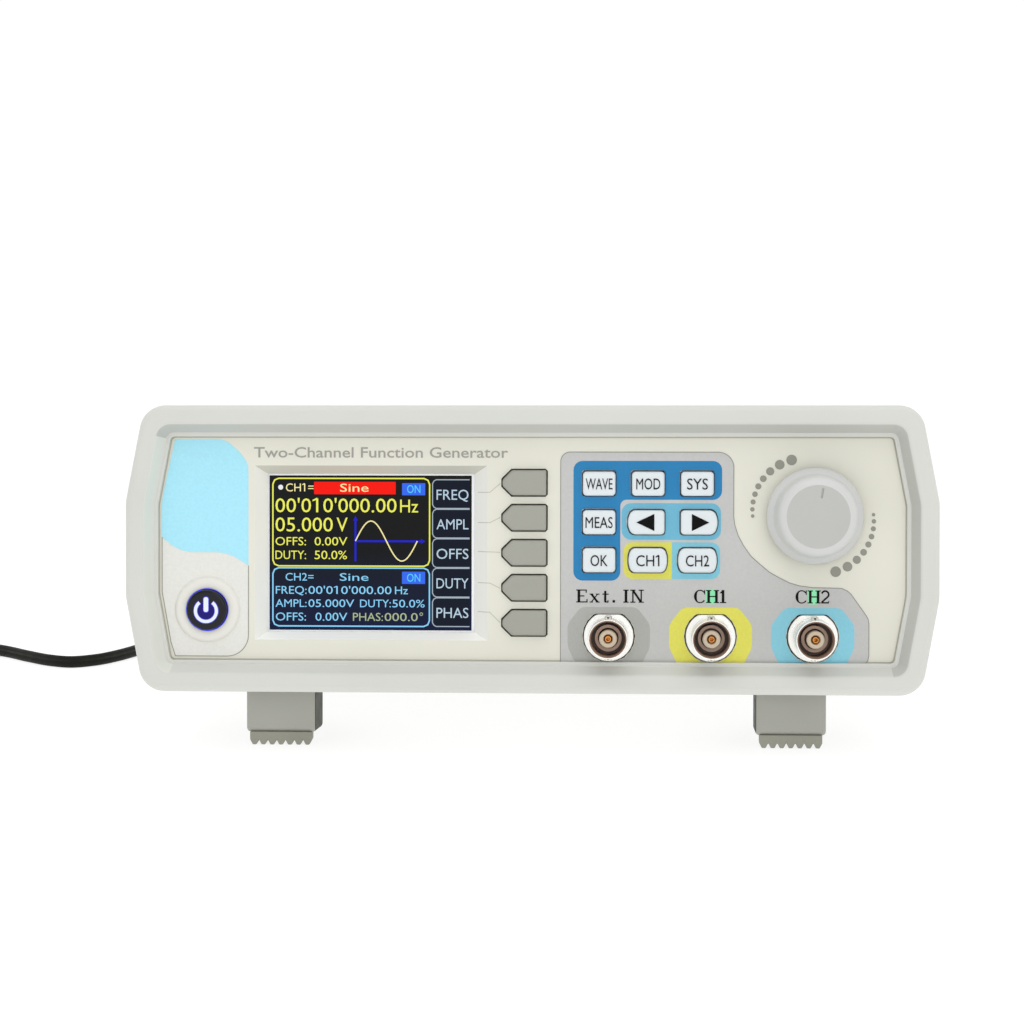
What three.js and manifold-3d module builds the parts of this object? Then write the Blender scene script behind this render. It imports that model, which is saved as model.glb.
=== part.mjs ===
// Desktop two-channel function generator: moulded bezels and covers, a front panel with a colour screen,
// keys, a push encoder and three BNC jacks, fold-out tilt feet, and its small wall adapter on a lead.
//
// Millimetres. The case pieces are drawn in the case's own frame: x to the right, y to the back from
// the front bezel's face, z up from the bezel's lower edge. The case is then tilted back so that it
// stands on its open tilt feet and its rear feet. The lead and the adapter are drawn in the stand's
// frame, where z = 0 is the table and the case's footprint is centred on the origin.

import * as THREE from 'three';
import { mergeVertices } from 'three/addons/utils/BufferGeometryUtils.js';
import Module from 'manifold-3d';

const wasm = await Module();
wasm.setup();

// ---- Case ----
const CASE_WIDTH = 200;
const CASE_HEIGHT = 70.8;
const CASE_DEPTH = 175;
const SIDE_LOW = 23.5; // the sides are upright between these two heights and lean in beyond them
const SIDE_HIGH = 47;
const LOWER_NARROWING = 4.3;
const UPPER_NARROWING = 4.6;
const CORNER_RADIUS = 6.5;
const BEND_RADIUS = 12;
const SMALLEST_RADIUS = 0.8;
const GAP = 0.3; // between pieces that rest on or slide in one another
const SEAM = 35.4; // height of the joint between the two covers

// ---- Stand ----
const TILT = THREE.MathUtils.degToRad(5.46);
const TABLE_AT_FRONT = -16.96; // height of the table under the front bezel's face, in the case's frame

// ---- Bezels, from the outline inwards ----
const BEZEL_DEPTH = 18;
const BEZEL_WALL = 2.5;
const LIP_FRONT = 4;
const LIP_BACK = 4.7;
const LIP_INSET = 7.7;

// ---- Front panel and what is behind it ----
const PANEL_FRONT = 5;
const PANEL_BACK = 8;
const PANEL_INSET = 3;
const REAR_PANEL_THICK = 2;
const BOARD_FRONT = 13.5;
const BOARD_THICK = 1.6;
const FLANGE_BACK = 9.1; // back of the keys' retaining flanges
const STEM_BACK = 11.2;
const SWITCH_TIP = 12;

// ---- Screen ----
const SCREEN = { left: -65.5, right: -13.8, bottom: 14.6, top: 53.9 };
const SCREEN_BEVEL = { left: -68.3, right: -10.5, bottom: 12.8, top: 55.95 };

// ---- Keys ----
const KEY_FRONT = 3.6;
const KEY_HEIGHT = 5.95;
const KEY_COLUMNS = [17.1, 29.15, 41.2];
const KEY_ROWS = [51.6, 42.1, 32.75];
const KEYS = [
  { name: 'key_wave', x: KEY_COLUMNS[0], z: KEY_ROWS[0], width: 8 },
  { name: 'key_mod', x: KEY_COLUMNS[1], z: KEY_ROWS[0], width: 8 },
  { name: 'key_sys', x: KEY_COLUMNS[2], z: KEY_ROWS[0], width: 8 },
  { name: 'key_meas', x: KEY_COLUMNS[0], z: KEY_ROWS[1], width: 8 },
  { name: 'key_left', x: 28.66, z: KEY_ROWS[1], width: 9, leftBulge: 1 },
  { name: 'key_right', x: 41.66, z: KEY_ROWS[1], width: 9, rightBulge: 1 },
  { name: 'key_ok', x: KEY_COLUMNS[0], z: KEY_ROWS[2], width: 8 },
  { name: 'key_ch1', x: 29.06, z: KEY_ROWS[2], width: 9.5, leftBulge: 0.8, rightBulge: 0.8 },
  { name: 'key_ch2', x: 41.24, z: KEY_ROWS[2], width: 9.5, leftBulge: 0.8, rightBulge: 0.8 },
];
const SOFTKEY_MIDDLE = 34.5;
const SOFTKEY_PITCH = 8.64;
const SOFTKEY_HEIGHT = 6.2;
const SOFTKEY_TIP = -6.72;
const SOFTKEY_SHOULDER = -4.37;
const SOFTKEY_RIGHT = 4.06;
const KEY_CLEARANCE = 0.35;
const KEY_FLANGE = 0.8;

// ---- Power button, encoder and jacks ----
const POWER = { x: -80.1, z: 20.15 };
const KNOB = { x: 69.9, z: 43.8 };
const JACKS = [19.5, 44.5, 69.5];
const JACK_Z = 14.05;
const JACK_FLAT = 5.55; // height of the shank's flat above the jack's axis
const JACK_LUG_Y = -3;

// ---- Tilt feet ----
const FOOT_CENTRES = { left: -64, right: 65.1 };
const FOOT_HALF = 8.85;
const HINGE_Y = 24.5;
const HINGE_Z = 5.5;
const FOOT_ROUND = 4.5; // the foot's front face is this far in front of its hinge
const FOOT_BACK = 10.5;
const FOOT_REACH = 17.4;
const FOOT_SHOULDER = 5.2;
const HINGE_PIN = 1.5;
const TOOTH_COUNT = 7;
const PAD_WIDTH = 15.8;
const PAD_DEPTH = 3.5;
const PAD_HEIGHT = 2.45;

// ---- Rear feet, screws and posts ----
const REAR_FOOT = { x: 70, half: 9, front: 144, back: 156 };
const COVER_INSET = 1.2;
const COVER_INNER = 3.8;
const SCREWS = [[-84, 30], [84, 30], [-84, 145], [84, 145]];
const SCREW_SHAFT = 1.4;
const SCREW_HEAD = 2.9;
const BOSS_TOP = 12.2;

// ---- Main board and rear connectors ----
const MAIN_BOTTOM = 12;
const MAIN_TOP = MAIN_BOTTOM + BOARD_THICK;
const SEAT = MAIN_TOP + GAP;
const CONNECTOR_BACK = 170.8;
const DC_JACK = { x: -58, z: 19.4 };
const USB_X = -20;
const HEADER_X = 25;

// ---- Lead, coil and adapter, in the stand's frame ----
const LEAD_RADIUS = 1.8;
const COIL = { x: -216, y: 92, radius: 21.2, half: 6.8, height: 11 };
const ADAPTER = { x: -233, y: 152, width: 42, length: 60, height: 28, neck: -242 };

const colours = {
  shell: 0xd6d7d1,
  panel: 0xdcdccf,
  key: 0xebeef0,
  grey: 0xa5a59d,
  foot: 0xa3a39b,
  knob: 0xd0d2d2,
  black: 0x1c1c1e,
  blue: 0x3050ff,
  glass: 0x101418,
  nickel: 0xc8c6c0,
  ptfe: 0xece6d6,
  gold: 0xc9a14a,
  board: 0x1d5a34,
  aluminium: 0xb8bcc0,
  rubber: 0x3a3a3a,
  steel: 0x8d9196,
};

// ---- Geometry helpers ----

/** A closed solid for boolean work: shared corners, no slivers, faces outwards. */
function solid(geometry) {
  const bare = geometry.clone();
  bare.deleteAttribute('normal');
  bare.deleteAttribute('uv');
  const merged = mergeVertices(bare, 1e-4);
  const points = merged.attributes.position.array;
  const index = merged.index.array;
  const faces = [];
  let volume = 0;
  const corner = [new THREE.Vector3(), new THREE.Vector3(), new THREE.Vector3()];
  for (let i = 0; i < index.length; i += 3) {
    const [a, b, c] = index.slice(i, i + 3);
    if (a !== b && b !== c && c !== a) {
      faces.push([a, b, c]);
      [a, b, c].forEach((v, k) => corner[k].fromArray(points, v * 3));
      volume += corner[0].dot(corner[1].cross(corner[2]));
    }
  }
  const outward = volume < 0 ? faces.map((face) => face.reverse()) : faces;
  const mesh = new wasm.Mesh({
    numProp: 3,
    vertProperties: new Float32Array(points),
    triVerts: new Uint32Array(outward.flat()),
  });
  return new wasm.Manifold(mesh);
}

const join = (...bodies) => bodies.reduce((sum, body) => sum.add(body));
const cut = (base, ...tools) => tools.reduce((rest, tool) => rest.subtract(tool), base);

/** Rings of points, [x, y, z], skinned one to the next; the last joins the first, or both get caps. */
function loftGeometry(rings, closed) {
  const size = rings[0].length;
  const index = [];
  const spans = closed ? rings.length : rings.length - 1;
  for (let r = 0; r < spans; r += 1) {
    const here = r * size;
    const next = ((r + 1) % rings.length) * size;
    for (let i = 0; i < size; i += 1) {
      const j = (i + 1) % size;
      index.push(here + i, here + j, next + j, here + i, next + j, next + i);
    }
  }
  if (!closed) {
    const last = (rings.length - 1) * size;
    for (let i = 1; i < size - 1; i += 1) {
      index.push(0, i + 1, i, last, last + i, last + i + 1);
    }
  }
  const geometry = new THREE.BufferGeometry();
  geometry.setAttribute('position', new THREE.Float32BufferAttribute(rings.flat(2), 3));
  geometry.setIndex(index);
  return geometry;
}

const loft = (rings, closed = false) => solid(loftGeometry(rings, closed));

function box(x0, x1, y0, y1, z0, z1) {
  const geometry = new THREE.BoxGeometry(x1 - x0, y1 - y0, z1 - z0);
  geometry.translate((x0 + x1) / 2, (y0 + y1) / 2, (z0 + z1) / 2);
  return solid(geometry);
}

function extrusion(points, depth) {
  const shape = new THREE.Shape(points.map(([a, b]) => new THREE.Vector2(a, b)));
  return new THREE.ExtrudeGeometry(shape, { depth, steps: 1, bevelEnabled: false });
}

/** A flat outline of [x, z] points, taken from y0 to y1. */
function prismY(points, y0, y1) {
  const geometry = extrusion(points, y1 - y0);
  geometry.rotateX(Math.PI / 2);
  geometry.translate(0, y1, 0);
  return solid(geometry);
}

/** A flat outline of [y, z] points, taken from x0 to x1. */
function prismX(points, x0, x1) {
  const geometry = extrusion(points, x1 - x0);
  geometry.rotateX(Math.PI / 2);
  geometry.rotateZ(Math.PI / 2);
  geometry.translate(x0, 0, 0);
  return solid(geometry);
}

/** A profile of [radius, y] points turned about a line along y at x, z. */
function turned(x, z, profile, segments, closed = false) {
  const points = profile.map(([radius, y]) => new THREE.Vector2(radius, y));
  if (closed) {
    points.push(points[0].clone());
  }
  const geometry = new THREE.LatheGeometry(points, segments);
  geometry.translate(x, 0, z);
  return solid(geometry);
}

const rodY = (x, z, radius, y0, y1, segments = 16) =>
  turned(x, z, [[0, y0], [radius, y0], [radius, y1], [0, y1]], segments);

function rodZ(x, y, radius, z0, z1, segments = 16) {
  const geometry = new THREE.CylinderGeometry(radius, radius, z1 - z0, segments);
  geometry.rotateX(Math.PI / 2);
  geometry.translate(x, y, (z0 + z1) / 2);
  return solid(geometry);
}

function rodX(x0, x1, y, z, radius, segments = 12) {
  const geometry = new THREE.CylinderGeometry(radius, radius, x1 - x0, segments);
  geometry.rotateZ(Math.PI / 2);
  geometry.translate((x0 + x1) / 2, y, z);
  return solid(geometry);
}

// ---- Outlines ----

const halfWidth = CASE_WIDTH / 2;
const rightCorners = [
  [halfWidth - LOWER_NARROWING, 0],
  [halfWidth, SIDE_LOW],
  [halfWidth, SIDE_HIGH],
  [halfWidth - UPPER_NARROWING, CASE_HEIGHT],
];
const leftCorners = rightCorners.map(([x, z]) => [-x, z]).reverse();
const caseCorners = [...rightCorners, ...leftCorners];

function outwardNormal([x0, z0], [x1, z1]) {
  return new THREE.Vector2(z1 - z0, x0 - x1).normalize();
}

/** The case's cross-section, moved inwards by inset: always the same number of [x, z] points. */
function caseOutline(inset) {
  const count = caseCorners.length;
  return caseCorners.flatMap((corner, i) => {
    const before = outwardNormal(caseCorners[(i + count - 1) % count], corner);
    const after = outwardNormal(corner, caseCorners[(i + 1) % count]);
    const tight = corner[1] === 0 || corner[1] === CASE_HEIGHT;
    const radius = Math.max((tight ? CORNER_RADIUS : BEND_RADIUS) - inset, SMALLEST_RADIUS);
    const steps = tight ? 5 : 2;
    const back = (inset + radius) / (1 + before.dot(after));
    const centre = before.clone().add(after).multiplyScalar(-back).add(new THREE.Vector2(...corner));
    const start = Math.atan2(before.y, before.x);
    const turn = Math.atan2(before.cross(after), before.dot(after));
    const points = [];
    for (let s = 0; s <= steps; s += 1) {
      const angle = start + (turn * s) / steps;
      points.push([centre.x + radius * Math.cos(angle), centre.y + radius * Math.sin(angle)]);
    }
    return points;
  });
}

const atDepth = (points, y) => points.map(([x, z]) => [x, y, z]);

/** A hoop round the case: a closed section of [inset, y] points carried round the outline. */
const hoop = (section) => loft(section.map(([inset, y]) => atDepth(caseOutline(inset), y)), true);

function rectangle(left, right, bottom, top) {
  return [[left, bottom], [right, bottom], [right, top], [left, top]];
}

/** A key's outline about its centre: rounded corners, and sides that may bow outwards. */
function keyOutline({ width, height = KEY_HEIGHT, leftBulge = 0, rightBulge = 0, corner = 0.9 }) {
  const top = height / 2;
  const right = width / 2 - rightBulge;
  const left = width / 2 - leftBulge;
  const quarter = [[1, 0.35], [0.35, 1]].map(([a, b]) => [1 - a, 1 - b]);
  const bow = (z) => 1 - (z / top) ** 2;
  const side = (sign, reach, bulge) => {
    const arcs = quarter.map(([a, b]) => [reach - corner * a, top - corner * b]);
    const upper = arcs.map(([x, z]) => [sign * (x + bulge * bow(z)), z]);
    const lower = upper.map(([x, z]) => [x, -z]).reverse();
    const middle = [-top / 3, top / 3].map((z) => [sign * (reach + bulge * bow(z)), z]);
    return [...lower, ...middle, ...upper];
  };
  const rightPoints = side(1, right, rightBulge);
  const leftPoints = side(-1, left, leftBulge);
  return [...rightPoints, ...leftPoints.reverse()];
}

/** An outline grown by extra on every side, moved to x, z. */
function grown(points, extra, x = 0, z = 0) {
  const wide = Math.max(...points.map((p) => Math.abs(p[0])));
  const high = Math.max(...points.map((p) => Math.abs(p[1])));
  return points.map(([a, b]) => [x + a * (1 + extra / wide), z + b * (1 + extra / high)]);
}

/** A key: domed cap, retaining flange behind the panel and a square stem for its switch. */
function keyBody(points, x, z) {
  const steps = [
    [-0.55, KEY_FRONT],
    [-0.12, KEY_FRONT + 0.25],
    [0, KEY_FRONT + 0.7],
    [0, PANEL_BACK + GAP],
    [KEY_FLANGE, PANEL_BACK + GAP],
    [KEY_FLANGE, FLANGE_BACK],
  ];
  const rings = steps.map(([extra, y]) => atDepth(grown(points, extra, x, z), y));
  return join(loft(rings), box(x - 1.5, x + 1.5, FLANGE_BACK - GAP, STEM_BACK, z - 1.5, z + 1.5));
}

const keyHole = (points, x, z) =>
  prismY(grown(points, KEY_CLEARANCE, x, z), PANEL_FRONT - 1, PANEL_BACK + 1);

const tableUnder = (y) => TABLE_AT_FRONT + y * Math.tan(TILT);

// ---- Assembly ----

const group = new THREE.Group();
group.name = 'function_generator';
const caseGroup = new THREE.Group();
caseGroup.name = 'case_on_its_feet';
group.add(caseGroup);

function place(parent, name, body, colour, metalness = 0, roughness = 0.6) {
  const mesh = body.getMesh();
  const geometry = new THREE.BufferGeometry();
  geometry.setAttribute('position', new THREE.Float32BufferAttribute(mesh.vertProperties, 3));
  geometry.setIndex(Array.from(mesh.triVerts));
  geometry.computeVertexNormals();
  const material = new THREE.MeshStandardMaterial({ color: colour, metalness, roughness });
  const node = new THREE.Mesh(geometry, material);
  node.name = name;
  parent.add(node);
}

// Bezels: the front one carries the panel behind its lip, and the rear one is its mirror image.
const bezelSection = [
  [0, BEZEL_DEPTH],
  [0, 2],
  [0.6, 0.6],
  [2, 0],
  [4.4, 0],
  [4.9, 0.5],
  [LIP_INSET - 0.8, LIP_FRONT],
  [LIP_INSET, LIP_FRONT],
  [LIP_INSET, LIP_BACK],
  [BEZEL_WALL, LIP_BACK],
  [BEZEL_WALL, BEZEL_DEPTH],
];
place(caseGroup, 'front_bezel', hoop(bezelSection), colours.shell);
const rearSection = bezelSection.map(([inset, y]) => [inset, CASE_DEPTH - y]);
place(caseGroup, 'rear_bezel', hoop(rearSection), colours.shell);

// Covers: one hoop with a tongue into each bezel, divided at the seam.
const tongue = BEZEL_WALL + GAP;
const coverFront = BEZEL_DEPTH + GAP;
const coverBack = CASE_DEPTH - coverFront;
const tongueFront = 10;
const tongueBack = CASE_DEPTH - tongueFront;
const coverHoop = hoop([
  [COVER_INSET, coverFront],
  [tongue, coverFront],
  [tongue, tongueFront],
  [COVER_INNER, tongueFront],
  [COVER_INNER, tongueBack],
  [tongue, tongueBack],
  [tongue, coverBack],
  [COVER_INSET, coverBack],
]);
const seamHalf = GAP / 2;
const upperHalf = box(-halfWidth, halfWidth, 0, CASE_DEPTH, SEAM + seamHalf, CASE_HEIGHT);
const lowerHalf = box(-halfWidth, halfWidth, 0, CASE_DEPTH, 0, SEAM - seamHalf);

/** A row of upright cooling slots through both side walls. */
function sideSlots(bottom, top) {
  const slots = [];
  for (let y = 98; y <= 146; y += 8) {
    slots.push(box(-halfWidth, -halfWidth + 8, y, y + 3, bottom, top));
    slots.push(box(halfWidth - 8, halfWidth, y, y + 3, bottom, top));
  }
  return slots;
}

const postFoot = BOSS_TOP + GAP;
const posts = SCREWS.map(([x, y]) => rodZ(x, y, 3.5, postFoot, CASE_HEIGHT - COVER_INSET - 1, 12));
const pilots = SCREWS.map(([x, y]) => rodZ(x, y, SCREW_SHAFT + GAP, postFoot - 1, postFoot + 9, 10));
const topShell = join(coverHoop.intersect(upperHalf), ...posts);
place(caseGroup, 'top_cover', cut(topShell, ...pilots, ...sideSlots(42, 56)), colours.shell);

// The lower cover: pockets for the tilt feet, screw bosses and the main board's standoffs.
const pocketFront = HINGE_Y - FOOT_ROUND - 0.6;
const pocketBack = HINGE_Y + 22;
const pocketTop = HINGE_Z + 11.2;
const pocketWall = 1.5;
const pocketHalf = FOOT_HALF + 0.5;
const footCentres = Object.values(FOOT_CENTRES);
const pocketShells = footCentres.map((x) => box(
  x - pocketHalf - pocketWall,
  x + pocketHalf + pocketWall,
  coverFront,
  pocketBack + pocketWall,
  COVER_INSET,
  pocketTop + pocketWall,
));
const pocketHollows = footCentres.map((x) =>
  box(x - pocketHalf, x + pocketHalf, pocketFront, pocketBack, -1, pocketTop));
const hingeHoles = footCentres.map((x) =>
  rodX(x - pocketHalf - 1.2, x + pocketHalf + 1.2, HINGE_Y, HINGE_Z, HINGE_PIN + GAP, 10));
const bosses = SCREWS.map(([x, y]) => rodZ(x, y, 4.2, 2, BOSS_TOP, 12));
const standoffs = [[-70, 60], [70, 60], [-70, 140], [70, 140]].map(([x, y]) =>
  rodZ(x, y, 3, 2, MAIN_BOTTOM - GAP, 8));
const screwHoles = SCREWS.flatMap(([x, y]) => [
  rodZ(x, y, SCREW_SHAFT + GAP, 0, BOSS_TOP + 1, 10),
  rodZ(x, y, SCREW_HEAD + GAP, 0, 5),
]);
const bottomShell = join(coverHoop.intersect(lowerHalf), ...pocketShells, ...bosses, ...standoffs);
const bottomCuts = [...pocketHollows, ...hingeHoles, ...screwHoles, ...sideSlots(15, 29)];
place(caseGroup, 'bottom_cover', cut(bottomShell, ...bottomCuts), colours.shell);

SCREWS.forEach(([x, y], i) => {
  const head = rodZ(x, y, SCREW_HEAD, 2.7, 4.7, 14);
  const shaft = rodZ(x, y, SCREW_SHAFT, 4.6, 20, 8);
  const slot = box(x - 4, x + 4, y - 0.4, y + 0.4, 2, 3.7);
  place(caseGroup, `case_screw_${i + 1}`, cut(join(head, shaft), slot), colours.steel, 0.9, 0.4);
});

// Front panel, with bosses that carry the front board.
const softkeyOutline = [
  [SOFTKEY_SHOULDER, -SOFTKEY_HEIGHT / 2],
  [SOFTKEY_RIGHT - 0.5, -SOFTKEY_HEIGHT / 2],
  [SOFTKEY_RIGHT, -SOFTKEY_HEIGHT / 2 + 0.5],
  [SOFTKEY_RIGHT, SOFTKEY_HEIGHT / 2 - 0.5],
  [SOFTKEY_RIGHT - 0.5, SOFTKEY_HEIGHT / 2],
  [SOFTKEY_SHOULDER, SOFTKEY_HEIGHT / 2],
  [SOFTKEY_TIP, 0.9],
  [SOFTKEY_TIP, -0.9],
];
const softkeyX = (SOFTKEY_TIP + SOFTKEY_RIGHT) / 2;
const softkeyAboutCentre = softkeyOutline.map(([x, z]) => [x - softkeyX, z]);
const softkeys = [2, 1, 0, -1, -2].map((step, i) => ({
  name: `softkey_${i + 1}`,
  x: softkeyX,
  z: SOFTKEY_MIDDLE + step * SOFTKEY_PITCH,
  outline: softkeyAboutCentre,
}));
const keypad = KEYS.map((key) => ({ ...key, outline: keyOutline(key) }));
const everyKey = [...softkeys, ...keypad];

const screenRings = [
  [SCREEN_BEVEL, PANEL_FRONT],
  [SCREEN, PANEL_BACK],
].map(([edge, y]) => atDepth(rectangle(edge.left, edge.right, edge.bottom, edge.top), y));
const beyond = (ring, y) => ring.map(([x, , z]) => [x, y, z]);
const screenHole = loft([
  beyond(screenRings[0], PANEL_FRONT - 1),
  ...screenRings,
  beyond(screenRings[1], PANEL_BACK + 1),
]);
const boardBosses = [-84, 84].flatMap((x) =>
  [10, 60].map((z) => rodY(x, z, 2.6, PANEL_BACK - 0.5, BOARD_FRONT - GAP, 12)));
const panelCuts = [
  screenHole,
  ...everyKey.map(({ outline, x, z }) => keyHole(outline, x, z)),
  rodY(POWER.x, POWER.z, 7.15, PANEL_FRONT - 1, PANEL_BACK + 1, 20),
  rodY(KNOB.x, KNOB.z, 4.8, PANEL_FRONT - 1, PANEL_BACK + 1, 20),
  ...JACKS.map((x) => rodY(x, JACK_Z, 6.45, PANEL_FRONT - 1, PANEL_BACK + 1, 20)),
];
const panelPlate = prismY(caseOutline(PANEL_INSET), PANEL_FRONT, PANEL_BACK);
place(caseGroup, 'front_panel', cut(join(panelPlate, ...boardBosses), ...panelCuts), colours.panel);

everyKey.forEach(({ name, outline, x, z }) => {
  const colour = name.startsWith('softkey') ? colours.grey : colours.key;
  place(caseGroup, name, keyBody(outline, x, z), colour);
});

// Screen: a cover glass behind the bevelled opening, and the display module behind the glass.
const lensBack = PANEL_BACK + GAP + 0.9;
const lens = box(SCREEN.left - 1.5, SCREEN.right + 1.3, PANEL_BACK + GAP, lensBack, 13.2, 55.3);
place(caseGroup, 'display_lens', lens, colours.glass, 0, 0.1);
const moduleFront = lensBack + GAP;
const moduleBody = box(SCREEN.left - 1, SCREEN.right + 2.3, moduleFront, BOARD_FRONT - GAP, 12.4, 56.2);
place(caseGroup, 'display_module', moduleBody, colours.steel, 0.5, 0.5);

// Front board with a switch behind every key and the ribbon's connector on its back.
const boardBack = BOARD_FRONT + BOARD_THICK;
const ribbonX = [-32, -8];
const tactSwitches = everyKey.flatMap(({ x, z }) => [
  box(x - 2.3, x + 2.3, SWITCH_TIP + 0.6, BOARD_FRONT + 0.1, z - 2.3, z + 2.3),
  box(x - 1.2, x + 1.2, SWITCH_TIP, SWITCH_TIP + 0.7, z - 1.2, z + 1.2),
]);
const boardConnector = box(ribbonX[0], ribbonX[1], boardBack - 0.1, boardBack + 3.4, 36, 42);
const tailHoles = JACKS.map((x) => rodY(x, JACK_Z, 1.1, BOARD_FRONT - 1, boardBack + 1, 10));
const boardPlate = box(-89, 89, BOARD_FRONT, boardBack, 6.5, 64.5);
const frontBoard = join(boardPlate, ...tactSwitches, boardConnector);
place(caseGroup, 'front_board', cut(frontBoard, ...tailHoles), colours.board);

// Power button inside its light ring, with a latching switch on the front board.
const buttonProfile = [[0, 3], [4.9, 3], [5.45, 3.5], [5.45, 9.3], [6.4, 9.3], [6.4, 9.8], [0, 9.8]];
place(caseGroup, 'power_button', turned(POWER.x, POWER.z, buttonProfile, 20), colours.black);
const ringProfile = [[5.8, 4.6], [6.8, 4.6], [6.8, 8.3], [7.9, 8.3], [7.9, 9], [5.8, 9]];
place(caseGroup, 'power_ring', turned(POWER.x, POWER.z, ringProfile, 20, true), colours.blue, 0, 0.3);
const powerSwitch = join(
  box(POWER.x - 4, POWER.x + 4, 12, BOARD_FRONT - GAP, POWER.z - 4, POWER.z + 4),
  rodY(POWER.x, POWER.z, 1.5, 11.2, 12.1, 12),
);
place(caseGroup, 'power_switch', powerSwitch, colours.black);

// Push encoder: body and bushing, the plunger behind the shaft, the shaft and the knob.
const encoderHalf = 6.5;
const encoder = join(
  box(KNOB.x - encoderHalf, KNOB.x + encoderHalf, PANEL_BACK + GAP, BOARD_FRONT - GAP,
    KNOB.z - encoderHalf, KNOB.z + encoderHalf),
  rodY(KNOB.x, KNOB.z, 4.5, 2.2, PANEL_BACK + 1, 20),
);
const shaftRadius = 3;
const encoderBore = rodY(KNOB.x, KNOB.z, shaftRadius + GAP, 1, 12.6, 20);
place(caseGroup, 'encoder_body', cut(encoder, encoderBore), colours.aluminium, 0.8, 0.4);
place(caseGroup, 'encoder_plunger', rodY(KNOB.x, KNOB.z, shaftRadius, 10.3, 11.9), colours.black);
const shaftFlat = box(KNOB.x - 4, KNOB.x + 4, -6, 1, KNOB.z + 1.6, KNOB.z + 4);
const shaft = cut(rodY(KNOB.x, KNOB.z, shaftRadius, -5.4, 10, 20), shaftFlat);
place(caseGroup, 'encoder_shaft', shaft, colours.aluminium, 0.8, 0.35);
const knobProfile = [
  [0, -9],
  [6.9, -9],
  [7.5, -8.6],
  [8.9, -7.7],
  [9.5, -6.9],
  [10.2, 0.4],
  [11.2, 1.3],
  [11.8, 2.1],
  [11.8, 3],
  [9.6, 3],
  [8.4, -6],
  [5.2, -6],
  [5.2, 1],
  [shaftRadius + GAP, 1],
  [shaftRadius + GAP, -5.7],
  [0, -5.7],
];
const pointer = box(KNOB.x + 0.6, KNOB.x + 1.1, -10, -8.6, KNOB.z + 4.7, KNOB.z + 6.6);
place(caseGroup, 'knob', cut(turned(KNOB.x, KNOB.z, knobProfile, 28), pointer), colours.knob);

// BNC jacks: a shell with two bayonet lugs and a flatted shank, its insulator and its contact.
JACKS.forEach((x, i) => {
  const shell = turned(x, JACK_Z, [
    [4.8, -8],
    [4.8, 3.5],
    [6.1, 3.5],
    [6.1, 9.5],
    [5, 9.5],
    [5, BOARD_FRONT - GAP],
    [2.5, BOARD_FRONT - GAP],
    [2.5, 1],
    [4.15, 1],
    [4.15, -8],
  ], 20, true);
  const lugs = [-1, 1].map((sign) => {
    const ends = [JACK_Z + sign * 4.4, JACK_Z + sign * 5.5].sort((a, b) => a - b);
    return rodZ(x, JACK_LUG_Y, 0.95, ends[0], ends[1], 10);
  });
  const flat = box(x - 7, x + 7, 3, 10, JACK_Z + JACK_FLAT, JACK_Z + 8);
  place(caseGroup, `bnc_body_${i + 1}`, cut(join(shell, ...lugs), flat), colours.nickel, 1, 0.3);
  const sleeve = turned(x, JACK_Z, [[2.2, -6], [2.2, 12.9], [1.05, 12.9], [1.05, -6]], 12, true);
  place(caseGroup, `bnc_insulator_${i + 1}`, sleeve, colours.ptfe);
  const pinProfile = [[0, -2], [0.45, -2], [0.45, -6.3], [0.75, -6.3], [0.75, 16.6], [0, 16.6]];
  const contact = turned(x, JACK_Z, pinProfile, 8);
  place(caseGroup, `bnc_contact_${i + 1}`, contact, colours.gold, 1, 0.3);
});

// Tilt feet, open: a block on a cross hinge, and a toothed pad whose ridges lie on the table.
const footProfile = [
  [HINGE_Y - FOOT_ROUND, HINGE_Z],
  [HINGE_Y - FOOT_ROUND, HINGE_Z - FOOT_REACH],
  [HINGE_Y + FOOT_BACK, HINGE_Z - FOOT_REACH],
  [HINGE_Y + FOOT_BACK, HINGE_Z - FOOT_SHOULDER],
  [HINGE_Y + FOOT_ROUND, HINGE_Z - FOOT_SHOULDER],
  [HINGE_Y + FOOT_ROUND, HINGE_Z],
];
for (let s = 1; s < 6; s += 1) {
  const angle = (Math.PI * s) / 6;
  footProfile.push([HINGE_Y + FOOT_ROUND * Math.cos(angle), HINGE_Z + FOOT_ROUND * Math.sin(angle)]);
}
const padY = HINGE_Y - FOOT_ROUND + PAD_DEPTH / 2;
Object.entries(FOOT_CENTRES).forEach(([side, x]) => {
  const block = prismX(footProfile, x - FOOT_HALF, x + FOOT_HALF);
  const pins = rodX(x - pocketHalf - 0.9, x + pocketHalf + 0.9, HINGE_Y, HINGE_Z, HINGE_PIN, 10);
  place(caseGroup, `tilt_foot_${side}`, join(block, pins), colours.foot);
  const pitch = PAD_WIDTH / TOOTH_COUNT;
  const teeth = [[PAD_WIDTH / 2, PAD_HEIGHT], [-PAD_WIDTH / 2, PAD_HEIGHT]];
  for (let t = 0; t < TOOTH_COUNT; t += 1) {
    const start = -PAD_WIDTH / 2 + t * pitch;
    teeth.push([start, 1.3], [start + 0.3 * pitch, 0], [start + 0.7 * pitch, 0]);
  }
  teeth.push([PAD_WIDTH / 2, 1.3]);
  const pad = extrusion(teeth, PAD_DEPTH);
  pad.rotateX(Math.PI / 2);
  pad.translate(0, PAD_DEPTH / 2, 0);
  pad.rotateX(TILT);
  pad.translate(x, padY, tableUnder(padY));
  place(caseGroup, `tilt_foot_pad_${side}`, solid(pad), colours.foot);
});

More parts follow.
